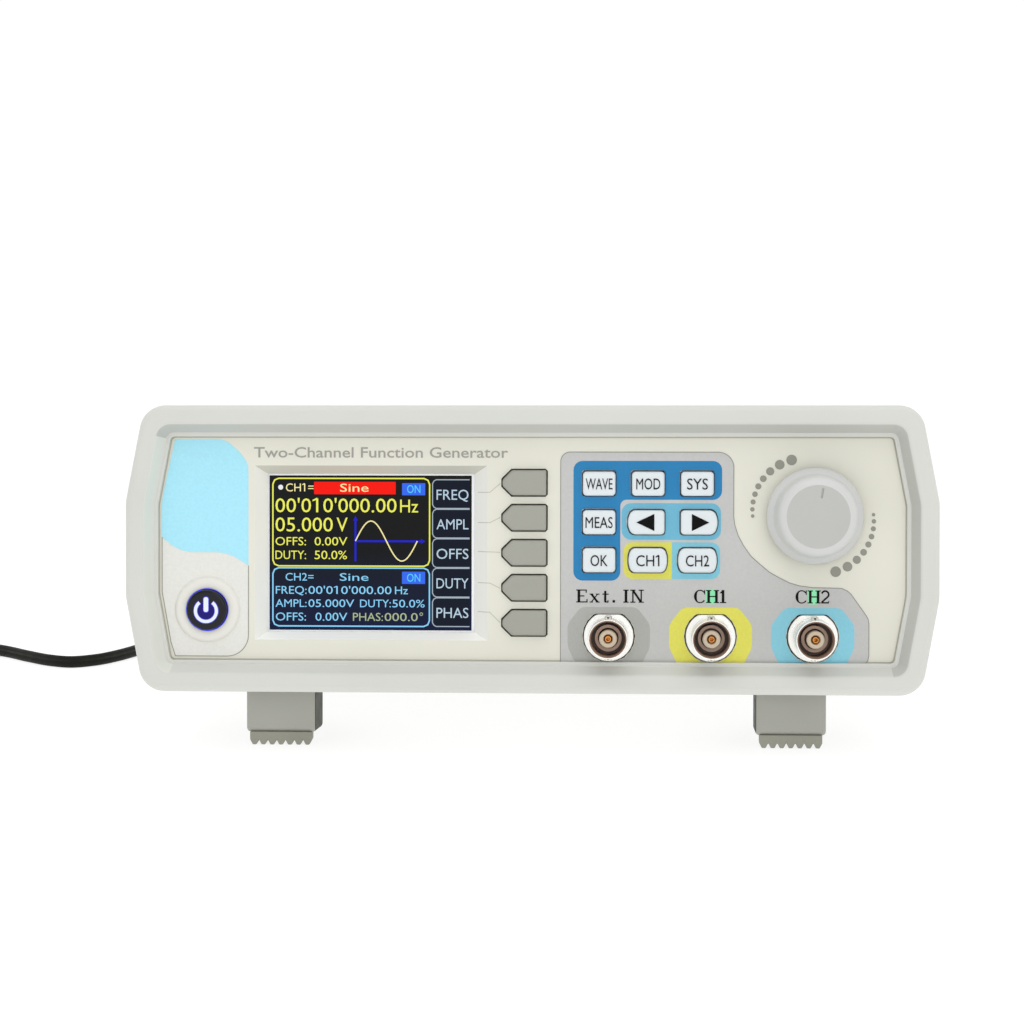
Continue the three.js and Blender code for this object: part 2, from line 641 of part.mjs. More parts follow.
// Rear feet: rubber blocks with a face that is level when the case stands on its tilt feet.
const rearFootProfile = [
  [REAR_FOOT.front, COVER_INSET - GAP],
  [REAR_FOOT.front, tableUnder(REAR_FOOT.front) + 0.8],
  [REAR_FOOT.front + 0.8, tableUnder(REAR_FOOT.front + 0.8)],
  [REAR_FOOT.back - 0.8, tableUnder(REAR_FOOT.back - 0.8)],
  [REAR_FOOT.back, tableUnder(REAR_FOOT.back) + 0.8],
  [REAR_FOOT.back, COVER_INSET - GAP],
];
[['left', -REAR_FOOT.x], ['right', REAR_FOOT.x]].forEach(([side, x]) => {
  const foot = prismX(rearFootProfile, x - REAR_FOOT.half, x + REAR_FOOT.half);
  place(caseGroup, `rear_foot_${side}`, foot, colours.rubber);
});

// Main board with its larger components, the heatsink and the ribbon to the front board.
const mainBoard = join(
  box(-79, 79, 52, 158, MAIN_BOTTOM, MAIN_TOP),
  box(-45, -25, 96, 116, MAIN_TOP - 0.1, MAIN_TOP + 2),
  box(-6, 6, 70, 82, MAIN_TOP - 0.1, MAIN_TOP + 1.6),
  box(44, 54, 60, 76, MAIN_TOP - 0.1, MAIN_TOP + 9),
  box(-32, -8, 60, 66, MAIN_TOP - 0.1, MAIN_TOP + 3),
  rodZ(-62, 128, 4, MAIN_TOP - 0.1, MAIN_TOP + 12),
  rodZ(-62, 116, 4, MAIN_TOP - 0.1, MAIN_TOP + 12),
);
place(caseGroup, 'main_board', mainBoard, colours.board);

const sink = { left: 14, right: 54, front: 92, back: 132, base: 3, fin: 1.6, fins: 8, top: 36 };
const sinkBodies = [box(sink.left, sink.right, sink.front, sink.back, SEAT, SEAT + sink.base)];
const finPitch = (sink.right - sink.left - sink.fin) / (sink.fins - 1);
for (let f = 0; f < sink.fins; f += 1) {
  const left = sink.left + f * finPitch;
  sinkBodies.push(box(left, left + sink.fin, sink.front, sink.back, SEAT + 1, sink.top));
}
place(caseGroup, 'heatsink', join(...sinkBodies), colours.aluminium, 0.9, 0.45);

const ribbonLine = [[19, 39], [27, 38.6], [33, 36], [38, 31], [43, 26], [49, 22], [56, 20.4], [63, 20]];
const ribbonHalf = 0.45;
const ribbonEdge = (sign) =>
  ribbonLine.map(([y, z]) => [y + (sign * ribbonHalf) / 2, z + sign * ribbonHalf]);
const ribbon = prismX([...ribbonEdge(-1), ...ribbonEdge(1).reverse()], ribbonX[0] + 1, ribbonX[1] - 1);
place(caseGroup, 'ribbon_cable', ribbon, colours.grey);

// Rear panel with its connector windows and cooling slots.
const rearPanelBack = CASE_DEPTH - PANEL_FRONT;
const rearPanelFront = rearPanelBack - REAR_PANEL_THICK;
const windowY = [rearPanelFront - 1, rearPanelBack + 1];
const windows = [
  box(DC_JACK.x - 4.8, DC_JACK.x + 4.8, ...windowY, SEAT - GAP, 25.2),
  box(USB_X - 6.3, USB_X + 6.3, ...windowY, SEAT - GAP, 25.2),
  box(HEADER_X - 8.3, HEADER_X + 8.3, ...windowY, SEAT - GAP, 22.8),
];
for (let x = -70; x <= 70; x += 10) {
  windows.push(box(x - 1.5, x + 1.5, ...windowY, 34, 54));
}
const rearPlate = prismY(caseOutline(PANEL_INSET), rearPanelFront, rearPanelBack);
place(caseGroup, 'rear_panel', cut(rearPlate, ...windows), colours.panel);

const dcBody = box(DC_JACK.x - 4.5, DC_JACK.x + 4.5, 157, CONNECTOR_BACK, SEAT, SEAT + 11);
const dcBore = rodY(DC_JACK.x, DC_JACK.z, 3.1, 160.8, CONNECTOR_BACK + 1, 16);
const dcPin = rodY(DC_JACK.x, DC_JACK.z, 1, 160, 170, 10);
place(caseGroup, 'dc_jack', join(cut(dcBody, dcBore), dcPin), colours.black);

const usbBody = box(USB_X - 6, USB_X + 6, 155, CONNECTOR_BACK, SEAT, SEAT + 11);
const usbHollow = box(USB_X - 4.3, USB_X + 4.3, 161, CONNECTOR_BACK + 1, SEAT + 1.5, SEAT + 9.4);
const usbTongue = box(USB_X - 2.8, USB_X + 2.8, 160, 169, SEAT + 3.8, SEAT + 7);
place(caseGroup, 'usb_port', join(cut(usbBody, usbHollow), usbTongue), colours.nickel, 0.8, 0.4);

const headerBody = box(HEADER_X - 8, HEADER_X + 8, 158, CONNECTOR_BACK, SEAT, SEAT + 8.6);
const headerHollow = box(HEADER_X - 7, HEADER_X + 7, 163, CONNECTOR_BACK + 1, SEAT + 1.1, SEAT + 7.5);
const headerPins = [];
for (let column = -2; column <= 2; column += 1) {
  [3.03, 5.57].forEach((height) => {
    const x = HEADER_X + column * 2.54;
    headerPins.push(box(x - 0.32, x + 0.32, 162, 169.6, SEAT + height - 0.32, SEAT + height + 0.32));
  });
}
place(caseGroup, 'ttl_header', join(cut(headerBody, headerHollow), ...headerPins), colours.black);

// DC plug in its jack: barrel, handle and strain relief.
const plugEnd = 205.5;
const plugProfile = [
  [1.3, 161.5],
  [2.75, 161.5],
  [2.75, 171.1],
  [4.3, 171.1],
  [4.7, 172],
  [4.7, 191],
  [3.6, 194],
  [2.3, plugEnd],
  [0, plugEnd],
  [0, 170.3],
  [1.3, 170.3],
  [1.3, 161.5],
];
place(caseGroup, 'dc_plug', turned(DC_JACK.x, DC_JACK.z, plugProfile, 16), colours.black);

// Stand the case on its feet: tilt it back, put the table at z = 0 and centre the footprint.
caseGroup.rotation.x = -TILT;
caseGroup.position.z = -TABLE_AT_FRONT * Math.cos(TILT);
caseGroup.updateMatrixWorld(true);
const footprint = new THREE.Box3();
caseGroup.children.filter((node) => node.name !== 'dc_plug').forEach((node) => {
  footprint.union(new THREE.Box3().setFromObject(node, true));
});
caseGroup.position.y = -(footprint.min.y + footprint.max.y) / 2;
caseGroup.updateMatrixWorld(true);

// The lead leaves the plug, drops to the table behind the case, comes forward beside it and turns away.
const leadStart = caseGroup.localToWorld(new THREE.Vector3(DC_JACK.x, plugEnd + GAP, DC_JACK.z));
const leadOut = caseGroup.localToWorld(new THREE.Vector3(DC_JACK.x, plugEnd + 8, DC_JACK.z));
const leadRoute = [
  leadStart.toArray(),
  leadOut.toArray(),
  [-59.5, 137, 12.4],
  [-63.5, 144, 8.2],
  [-70, 148.5, 4.6],
  [-78, 149.5, 2.4],
  [-87, 146, 1.9],
  [-95, 138.5, 1.9],
  [-102, 128, 1.9],
  [-108.5, 115, 1.9],
  [-114.5, 100, 1.9],
  [-120.5, 83, 1.9],
  [-126.5, 66, 1.9],
  [-131.5, 53, 1.9],
  [-136.5, 45, 1.9],
  [-143, 41, 1.9],
  [-150, 43.5, 1.9],
  [-158.5, 50.5, 1.9],
  [-168, 59.5, 1.9],
  [-178.5, 66, 1.9],
  [-188, 67.8, 1.9],
  [-197.5, 67.2, 1.9],
].map((point) => new THREE.Vector3(...point));
const leadCurve = new THREE.CatmullRomCurve3(leadRoute, false, 'centripetal');
const leadSection = [];
for (let i = 0; i < 8; i += 1) {
  const angle = (Math.PI * (2 * i + 1)) / 8;
  leadSection.push(new THREE.Vector2(LEAD_RADIUS * Math.cos(angle), LEAD_RADIUS * Math.sin(angle)));
}
const lead = new THREE.ExtrudeGeometry(new THREE.Shape(leadSection), { extrudePath: leadCurve, steps: 36 });
place(group, 'power_cord', solid(lead), colours.black);

/** A solid turned about an upright line at x, y, from [radius, z] points that close on themselves. */
function turnedZ(x, y, profile, segments) {
  const points = profile.map(([radius, z]) => new THREE.Vector2(radius, z));
  points.push(points[0].clone());
  const geometry = new THREE.LatheGeometry(points, segments);
  geometry.rotateX(Math.PI / 2);
  geometry.translate(x, y, 0);
  return solid(geometry);
}

const coilInner = COIL.radius - COIL.half;
const coilOuter = COIL.radius + COIL.half;
const coilProfile = [
  [coilInner, 3],
  [coilInner + 3, 0.1],
  [coilOuter - 3, 0.1],
  [coilOuter, 3],
  [coilOuter, COIL.height - 3],
  [coilOuter - 3, COIL.height],
  [coilInner + 3, COIL.height],
  [coilInner, COIL.height - 3],
];
place(group, 'power_cord_coil', turnedZ(COIL.x, COIL.y, coilProfile, 20), colours.black);

// Wall adapter: a rounded block lying on its side, and its two round pins on a common base.
const adapterOutline = keyOutline({ width: ADAPTER.width, height: ADAPTER.length, corner: 5 });
const adapterRings = [[-1.5, 0.1], [0, 1.6], [0, ADAPTER.height - 1.5], [-1.5, ADAPTER.height]];
const adapterBody = loft(adapterRings.map(([extra, z]) =>
  grown(adapterOutline, extra, ADAPTER.x, ADAPTER.y).map(([x, y]) => [x, y, z])));
const adapterFront = ADAPTER.y - ADAPTER.length / 2;
const adapterNeck = rodY(ADAPTER.neck, 5, 3, adapterFront - 8, adapterFront + 4, 12);
const pinX = ADAPTER.x - ADAPTER.width / 2;
const pinHeight = ADAPTER.height / 2;
const pinRow = [ADAPTER.y - 2, ADAPTER.y + 17];
const pinPlate = (x0, x1, reach) =>
  box(x0, x1, pinRow[0] - reach, pinRow[1] + reach, pinHeight - reach, pinHeight + reach);
const baseHollow = pinPlate(pinX - 1, pinX + 2.3, 5 + GAP);
place(group, 'adapter_body', cut(join(adapterBody, adapterNeck), baseHollow), colours.black);
const pinBase = pinPlate(pinX, pinX + 2, 5);
const pins = pinRow.map((y) => rodX(pinX - 19, pinX + 1, y, pinHeight, 2));
place(group, 'adapter_pins', join(pinBase, ...pins), colours.nickel, 1, 0.3);

export default group;
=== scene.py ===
from math import acos, atan2, cos, degrees, hypot, pi, radians, sin

import bmesh
import bpy
from mathutils import Matrix, Vector
from mathutils.geometry import tessellate_polygon


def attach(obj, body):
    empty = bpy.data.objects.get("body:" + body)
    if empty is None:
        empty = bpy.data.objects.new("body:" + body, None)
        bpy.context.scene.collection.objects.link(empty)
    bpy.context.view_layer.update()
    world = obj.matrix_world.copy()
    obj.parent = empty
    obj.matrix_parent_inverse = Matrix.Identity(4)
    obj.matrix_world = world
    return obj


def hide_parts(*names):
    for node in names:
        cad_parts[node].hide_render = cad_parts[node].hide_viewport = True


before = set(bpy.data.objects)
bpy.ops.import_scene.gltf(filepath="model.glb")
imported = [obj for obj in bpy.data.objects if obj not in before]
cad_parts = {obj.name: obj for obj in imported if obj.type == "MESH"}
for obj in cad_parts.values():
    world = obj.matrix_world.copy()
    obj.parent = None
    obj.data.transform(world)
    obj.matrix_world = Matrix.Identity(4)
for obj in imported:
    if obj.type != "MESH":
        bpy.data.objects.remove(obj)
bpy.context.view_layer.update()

# --- Frames ---
# Case pieces are drawn in millimetres in the case's own frame: x to the right,
# y to the back from the front bezel's face, z up from its lower edge.
MM = 0.001
TILT = radians(5.46)
TABLE_DROP = 16.96
CENTRE_BACK = 86.835
CASE = (
    Matrix.Translation((0, -CENTRE_BACK * MM, TABLE_DROP * cos(TILT) * MM))
    @ Matrix.Rotation(-TILT, 4, "X")
    @ Matrix.Scale(MM, 4)
)
INTO_CASE = CASE.inverted()
STAND = Matrix.Scale(MM, 4)
ROOT = "case"


def add_object(name, data):
    thing = bpy.data.objects.new(name, data)
    bpy.context.collection.objects.link(thing)
    return thing


# --- Camera ---
CAMERA_PLACE = (28.97, -611.19, 55.06)
CAMERA_YAW, CAMERA_PITCH, CAMERA_ROLL = (radians(a) for a in (3.101, -0.975, 0.085))
CAMERA_LENS = 87.95
SENSOR_WIDTH = 36


def make_camera():
    """A camera placed and turned in the case's own frame."""
    data = bpy.data.cameras.new("camera")
    data.lens = CAMERA_LENS
    data.sensor_width = SENSOR_WIDTH
    data.clip_start, data.clip_end = 0.05, 20
    camera = add_object("camera", data)
    turn = Matrix.Translation(CASE @ Vector(CAMERA_PLACE))
    for angle, axis in ((-TILT, "X"), (CAMERA_YAW, "Z"), (pi / 2 + CAMERA_PITCH, "X"), (CAMERA_ROLL, "Z")):
        turn = turn @ Matrix.Rotation(angle, 4, axis)
    camera.matrix_world = turn
    bpy.context.scene.camera = camera


make_camera()

# --- Materials ---


def srgb(r, g, b):
    """A colour given as 0 to 255 screen values, as linear light."""
    def linear(v):
        v /= 255
        return v / 12.92 if v <= 0.04045 else ((v + 0.055) / 1.055) ** 2.4
    return (linear(r), linear(g), linear(b), 1.0)


def scaled(colour, k):
    return tuple(min(1.0, c * k) for c in colour[:3]) + (1.0,)


class Nodes:
    """A short way to write the node tree of a new material, or of the world."""

    def __init__(self, name, owner=None, shader="Principled BSDF", space="Object"):
        self.material = owner or bpy.data.materials.new(name)
        self.material.use_nodes = True
        self.tree = self.material.node_tree
        self.shader = self.tree.nodes[shader]
        self.place = self.add("ShaderNodeTexCoord").outputs[space]

    def add(self, kind, **values):
        """A node with values for its settings or inputs; an underscore stands for a space."""
        node = self.tree.nodes.new(kind)
        for key, value in values.items():
            if hasattr(node, key):
                setattr(node, key, value)
            else:
                node.inputs[key.replace("_", " ")].default_value = value
        return node

    def link(self, source, target):
        self.tree.links.new(source, target)

    def drive(self, socket, source):
        self.link(source, self.shader.inputs[socket])

    def fix(self, **values):
        """Sets the shader's own sockets."""
        for key, value in values.items():
            self.shader.inputs[key.replace("_", " ")].default_value = value

    def noise(self, scale, detail=3.0, rough=0.55, stretch=None):
        node = self.add("ShaderNodeTexNoise", Scale=scale, Detail=detail, Roughness=rough)
        place = self.place
        if stretch:
            mapping = self.add("ShaderNodeMapping", Scale=stretch)
            self.link(place, mapping.inputs["Vector"])
            place = mapping.outputs["Vector"]
        self.link(place, node.inputs["Vector"])
        return node.outputs["Fac"]

    def ramp(self, source, stops):
        node = self.add("ShaderNodeValToRGB")
        ramp = node.color_ramp
        while len(ramp.elements) < len(stops):
            ramp.elements.new(0.5)
        for element, (at, colour) in zip(ramp.elements, stops):
            element.position = at
            element.color = colour
        self.link(source, node.inputs["Fac"])
        return node.outputs["Color"]

    def spread(self, source, low, high, from_low=0.3, from_high=0.7):
        node = self.add("ShaderNodeMapRange", From_Min=from_low, From_Max=from_high, To_Min=low, To_Max=high)
        self.link(source, node.inputs["Value"])
        return node.outputs["Result"]

    def bump(self, source, strength, distance, after=None):
        node = self.add("ShaderNodeBump", Strength=strength, Distance=distance)
        self.link(source, node.inputs["Height"])
        if after is not None:
            self.link(after, node.inputs["Normal"])
        return node.outputs["Normal"]

    def mottle(self, source, colour, dark, light, start=0.3, end=0.7):
        """A base colour that wanders between two shares of one colour."""
        stops = [(start, scaled(colour, dark)), (end, scaled(colour, light))]
        self.drive("Base Color", self.ramp(source, stops))

    def gloss(self, source, roughness, vary):
        self.drive("Roughness", self.spread(source, roughness * (1 - vary), roughness * (1 + vary)))


def plastic(name, rgb, roughness=0.45, grain=2600, grain_depth=0.00002, vary=0.03, coat=0.0, spec=0.5):
    """Moulded plastic: a fine spark-eroded grain, faint flow marks and uneven gloss."""
    n = Nodes(name)
    flow = n.noise(38, 2.0)
    n.mottle(flow, srgb(*rgb), 1 - vary, 1 + vary)
    n.gloss(n.noise(420), roughness, 0.12)
    fine = n.bump(n.noise(grain, 2.0, 0.6), 0.35, grain_depth)
    n.drive("Normal", n.bump(flow, 0.06, 0.00005, fine))
    n.fix(Specular_IOR_Level=spec, Coat_Weight=coat, Coat_Roughness=0.12)
    return n.material


def metal(name, rgb, roughness=0.25, stretch=(1, 1, 1), scale=900, vary=0.08, depth=0.000002, shine=1.0):
    """Plated or machined metal: tool marks along one way, smudges in the gloss."""
    n = Nodes(name)
    marks = n.noise(scale, 4.0, 0.6, stretch)
    n.mottle(n.noise(160), srgb(*rgb), 1 - vary, 1 + vary / 2, 0.25, 0.75)
    n.gloss(marks, roughness, 0.15)
    n.drive("Normal", n.bump(marks, 0.15, depth))
    n.fix(Metallic=shine)
    return n.material


def print_ink(name, rgb, spec=0.3):
    """Screen-printed ink: a nearly even film with a faint pinhole texture."""
    n = Nodes(name)
    film = n.noise(1500)
    n.mottle(film, srgb(*rgb), 0.97, 1.03)
    n.gloss(film, 0.5, 0.1)
    n.drive("Normal", n.bump(film, 0.1, 0.000005))
    n.fix(Specular_IOR_Level=spec)
    return n.material


def lit(name, rgb, strength=1.0, roughness=0.25, body=0.04):
    """Something that glows: a screen's pixels, a light ring or an indicator."""
    n = Nodes(name)
    colour = srgb(*rgb)
    film = n.noise(2400, 2.0)
    n.mottle(film, colour, body * 0.9, body)
    n.drive("Emission Strength", n.spread(film, strength * 0.97, strength * 1.03))
    n.fix(Emission_Color=colour, Roughness=roughness, Specular_IOR_Level=0.1)
    return n.material


def rubber(name, rgb, roughness, spec=0.3):
    """Soft black or grey rubber: a coarse mottle and a fine skin."""
    n = Nodes(name)
    n.mottle(n.noise(120), srgb(*rgb), 0.8, 1.25)
    n.gloss(n.noise(300, 2.0), roughness, 0.15)
    n.drive("Normal", n.bump(n.noise(3200, 3.0, 0.65), 0.4, 0.00003))
    n.fix(Specular_IOR_Level=spec)
    return n.material


def board_finish(name):
    """Green solder mask with faint copper tracks under it."""
    n = Nodes(name)
    tracks = n.add("ShaderNodeTexBrick", Scale=90.0, offset=0.37, Mortar_Size=0.03, Color1=srgb(18, 92, 48),
                   Color2=srgb(22, 102, 54), Mortar=srgb(46, 132, 74))
    n.link(n.place, tracks.inputs["Vector"])
    n.drive("Base Color", tracks.outputs["Color"])
    n.drive("Roughness", n.spread(n.noise(500), 0.28, 0.42))
    n.drive("Normal", n.bump(tracks.outputs["Fac"], 0.3, 0.00003))
    return n.material


# Case and panel
SHELL = plastic("shell_plastic", (211, 212, 206), vary=0.012, spec=0.35)
# Copies of the shell plastic for painted shade and painted light on the bezel's sloping wall
SHELL_PAINTED_SHADE = plastic("shell_painted_shade", (192, 193, 187), 0.5, vary=0.012, spec=0.35)
SHELL_PAINTED_LIGHT = plastic("shell_painted_light", (220, 222, 214), 0.5, vary=0.012, spec=0.35)
PANEL = plastic("panel_plastic", (226, 225, 212), 0.5, grain=3400, grain_depth=0.00001, vary=0.015)
COLLAR = plastic("collar_plastic", (228, 227, 220), 0.5, grain=3400, grain_depth=0.00001, vary=0.015)
# Copies of the panel plastic for painted shade and painted light on the screen recess's walls
RECESS_TOP_PAINTED_SHADE = plastic("recess_top_painted_shade", (202, 201, 190), 0.5, vary=0.015)
RECESS_BOTTOM_PAINTED_LIGHT = plastic("recess_bottom_painted_light", (250, 250, 246), 0.5, vary=0.015)
RECESS_SIDE_PAINTED_LIGHT = plastic("recess_side_painted_light", (238, 238, 232), 0.5, vary=0.015)
# Controls and feet
KEY_WHITE = plastic("key_white", (223, 230, 233), 0.38, vary=0.01)
KEY_GREY = plastic("key_grey", (160, 160, 150))
KNOB = plastic("knob_plastic", (208, 209, 207), vary=0.015, spec=0.35)
KNOB_FACE = plastic("knob_face", (187, 188, 184), 0.5, vary=0.015, spec=0.3)
BLACK_GLOSS = plastic("button_black", (14, 14, 20), 0.2, grain_depth=0.000004, vary=0.2, coat=0.15, spec=0.25)
RING_LIGHT = lit("light_ring", (58, 66, 235), 1.0, 0.3, 0.3)
FOOT = plastic("foot_plastic", (164, 164, 156), 0.5, vary=0.04)
# A darker copy of the foot plastic: painted shade on each foot's inner side
FOOT_CHEEK_PAINTED_SHADE = plastic("foot_cheek_painted_shade", (74, 74, 67), 0.6, vary=0.06, spec=0.2)
PAD = plastic("foot_pad", (146, 146, 134), 0.6, grain=1800, grain_depth=0.00004, vary=0.08, spec=0.25)
RUBBER = rubber("rubber_foot", (58, 58, 58), 0.7)
# Sockets and metal parts
NICKEL = metal("nickel", (255, 254, 250), 0.26, scale=150, vary=0.02, depth=0.0000001, shine=0.65)
BARREL = metal("nickel_barrel", (222, 220, 214), 0.24, scale=150, vary=0.02, depth=0.0000001, shine=0.8)
# Painted shade for the inside of each jack's bore
NICKEL_INSIDE_PAINTED_SHADE = plastic("nickel_inside_painted_shade", (146, 120, 104), 0.35, vary=0.12)
NICKEL_FLOOR = plastic("nickel_floor", (236, 206, 184), 0.4, vary=0.06)
LUG = metal("lug_nickel", (236, 232, 224), 0.3, vary=0.04)
# Painted shade lines for the bayonet lugs
LUG_PAINTED_SHADE = metal("lug_painted_shade", (96, 88, 78), 0.4, vary=0.04)
PLATED = metal("plated_steel", (176, 176, 172), 0.3, (1, 1, 6))
STEEL = metal("screw_steel", (176, 178, 182), 0.35)
FRAME_STEEL = metal("display_frame", (170, 172, 175), 0.4, (0.2, 1, 8))
ALUMINIUM = metal("aluminium", (192, 194, 196), 0.38, (1, 0.05, 1))
GOLD = metal("gold_contact", (236, 164, 84), 0.22, vary=0.06, shine=0.7)
PTFE = plastic("ptfe", (208, 194, 170), 0.35)
# Inside parts and the lead
BLACK = plastic("black_plastic", (30, 30, 31), 0.5, vary=0.1)
BOARD = board_finish("circuit_board")
RIBBON = plastic("ribbon_grey", (168, 170, 172), 0.5, vary=0.05)
LEAD = rubber("lead_black", (26, 26, 22), 0.5, 0.15)
ADAPTER_BLACK = plastic("adapter_black", (30, 30, 30), 0.5, grain=1500, grain_depth=0.00006, vary=0.1)

# --- Mesh building ---
SHARP_ANGLE = 35  # sharper edges are bevelled, and shaded as edges


def shade(mesh, sharp_angle):
    mesh.shade_smooth()
    mesh.set_sharp_from_angle(angle=radians(sharp_angle))


def enrol(thing, body, replaces):
    """Puts a piece on its body, and hides the CAD nodes that it stands for."""
    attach(thing, body)
    if replaces:
        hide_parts(*([replaces] if isinstance(replaces, str) else replaces))


def add_bevel(thing, width, angle=SHARP_ANGLE, segments=3):
    """Rounded edges, with the width in millimetres."""
    edge = thing.modifiers.new("rounded_edges", "BEVEL")
    edge.width = width * MM
    edge.segments = segments
    edge.limit_method = "ANGLE"
    edge.angle_limit = radians(angle)
    edge.use_clamp_overlap = True
    edge.harden_normals = True


def fixed_mesh(mesh, geometry, space):
    """Fills a mesh from (points, faces) in millimetres, with shared points and outward faces."""
    points, faces = geometry
    mesh.from_pydata([space @ Vector(p) for p in points], [], faces)
    work = bmesh.new()
    work.from_mesh(mesh)
    bmesh.ops.remove_doubles(work, verts=work.verts, dist=1e-7)
    bmesh.ops.recalc_face_normals(work, faces=work.faces)
    work.to_mesh(mesh)
    work.free()


def piece(name, body, geometry, material, replaces=(), smooth=SHARP_ANGLE, bevel=0.0, space=CASE):
    """A mesh object from (points, faces), riding on a body. A bevel is in millimetres."""
    mesh = bpy.data.meshes.new(name)
    fixed_mesh(mesh, geometry, space)
    shade(mesh, smooth)
    mesh.materials.append(material)
    thing = add_object(name, mesh)
    if bevel:
        add_bevel(thing, bevel)
    enrol(thing, body, replaces)
    return thing


def refined(node, material, width, body=ROOT, segments=2, angle=30):
    """A CAD node's own shape with its flat faces joined up and its edges rounded."""
    work = bmesh.new()
    work.from_mesh(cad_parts[node].data)
    bmesh.ops.remove_doubles(work, verts=work.verts, dist=2e-7)
    bmesh.ops.dissolve_limit(work, angle_limit=radians(0.6), verts=work.verts, edges=work.edges)
    mesh = bpy.data.meshes.new(node + "_fine")
    work.to_mesh(mesh)
    work.free()
    shade(mesh, angle)
    mesh.materials.clear()
    mesh.materials.append(material)
    thing = add_object(node + "_fine", mesh)
    add_bevel(thing, width, angle, segments)
    enrol(thing, body, node)
    return thing


def raise_top(thing, above, level):
    """Moves a piece's own points above a height in the case's frame up to a level, to close a joint."""
    for vertex in thing.data.vertices:
        place = INTO_CASE @ vertex.co
        if place.z > above:
            vertex.co = CASE @ Vector((place.x, place.y, level))


def final_mesh(thing):
    """A new mesh of the object as its modifiers or its text leave it."""
    bpy.context.view_layer.update()
    return bpy.data.meshes.new_from_object(thing.evaluated_get(bpy.context.evaluated_depsgraph_get()))


def carved(thing, geometry):
    """Cuts a shape out of a piece and keeps the result as its mesh."""
    cutter = add_object("cutter", bpy.data.meshes.new("cutter"))
    fixed_mesh(cutter.data, geometry, CASE)
    cut = thing.modifiers.new("cut", "BOOLEAN")
    cut.object = cutter
    cut.solver = "EXACT"
    mesh = final_mesh(thing)
    thing.modifiers.remove(cut)
    thing.data = mesh
    bpy.data.objects.remove(cutter)
    mesh.set_sharp_from_angle(angle=radians(SHARP_ANGLE))


def paint(thing, material, test):
    """Gives the faces whose middle passes the test, in the case's millimetres, another finish."""
    thing.data.materials.append(material)
    index = len(thing.data.materials) - 1
    for face in thing.data.polygons:
        if test(INTO_CASE @ face.center):
            face.material_index = index


def joined(*parts):
    """Several (points, faces) as one."""
    points, faces = [], []
    for more_points, more_faces in parts:
        first = len(points)
        points += list(more_points)
        faces += [tuple(first + i for i in face) for face in more_faces]
    return points, faces


def loft(rings, closed=False):
    """Rings of points skinned one to the next. Open lofts get end caps."""
    size = len(rings[0])
    points = [tuple(p) for ring in rings for p in ring]
    faces = []
    for r in range(len(rings) if closed else len(rings) - 1):
        here, there = r * size, ((r + 1) % len(rings)) * size
        for i in range(size):
            j = (i + 1) % size
            faces.append((here + i, here + j, there + j, there + i))
    if not closed:
        faces.append(tuple(reversed(range(size))))
        faces.append(tuple((len(rings) - 1) * size + i for i in range(size)))
    return points, faces


def spokes(count):
    """The cosines and sines of equal steps round a circle."""
    return [(cos(a), sin(a)) for a in (2 * pi * s / count for s in range(count))]


def lathe(profile, x, z, segments=64):
    """A profile of (radius, y) turned about a line along y; it closes, or starts and ends on the line."""
    rings = [[(x + radius * a, y, z + radius * b) for a, b in spokes(segments)] for radius, y in profile]
    return loft(rings, profile[0][0] > 0)


def corner_arc(a, b, c, radius, steps):
    """Points of a soft curve that cuts the corner b between a and c."""
    a, b, c = Vector(a), Vector(b), Vector(c)
    reach = min(radius, (a - b).length * 0.45, (c - b).length * 0.45)
    start, end = b + (a - b).normalized() * reach, b + (c - b).normalized() * reach
    shares = [s / steps for s in range(steps + 1)]
    return [tuple(start * (1 - t) ** 2 + b * 2 * t * (1 - t) + end * t ** 2) for t in shares]


def rounded(line, radius, steps=4):
    """The same open line of points with every inner corner cut to an arc of about that radius."""
    inner = [p for a, b, c in zip(line, line[1:], line[2:]) for p in corner_arc(a, b, c, radius, steps)]
    return [line[0], *inner, line[-1]]


def rounded_loop(corners, radius, steps=4):
    """A closed outline with every corner cut to an arc of about that radius."""
    out = []
    for i, corner in enumerate(corners):
        out += corner_arc(corners[i - 1], corner, corners[(i + 1) % len(corners)], radius, steps)
    return out


def slab(outline, y0, y1, holes=()):
    """A flat outline of (x, z) points with holes, given a thickness from y0 to y1."""
    loops = [list(outline)] + [list(hole) for hole in holes]
    triangles = tessellate_polygon([[Vector((x, z, 0)) for x, z in loop] for loop in loops])
    ring = [p for loop in loops for p in loop]
    count = len(ring)
    points = [(x, y, z) for y in (y0, y1) for x, z in ring]
    faces = [tuple(t) for t in triangles] + [tuple(count + i for i in reversed(t)) for t in triangles]
    first = 0
    for loop in loops:
        for i in range(len(loop)):
            j = (i + 1) % len(loop)
            faces.append((first + i, first + j, count + first + j, count + first + i))
        first += len(loop)
    return points, faces


def arc(x, z, radius, start, end, steps=8):
    """(x, z) points along a circle, between two angles in degrees."""
    angles = [radians(start + (end - start) * s / steps) for s in range(steps + 1)]
    return [(x + radius * cos(a), z + radius * sin(a)) for a in angles]


def round_rectangle(left, right, bottom, top, radius, steps=6):
    x0, x1, z0, z1 = left + radius, right - radius, bottom + radius, top - radius
    corners = ((x1, z0, -90), (x1, z1, 0), (x0, z1, 90), (x0, z0, 180))
    return [p for x, z, start in corners for p in arc(x, z, radius, start, start + 90, steps)]


def circle(x, z, radius, steps=40):
    return arc(x, z, radius, 0, 360 - 360 / steps, steps - 1)


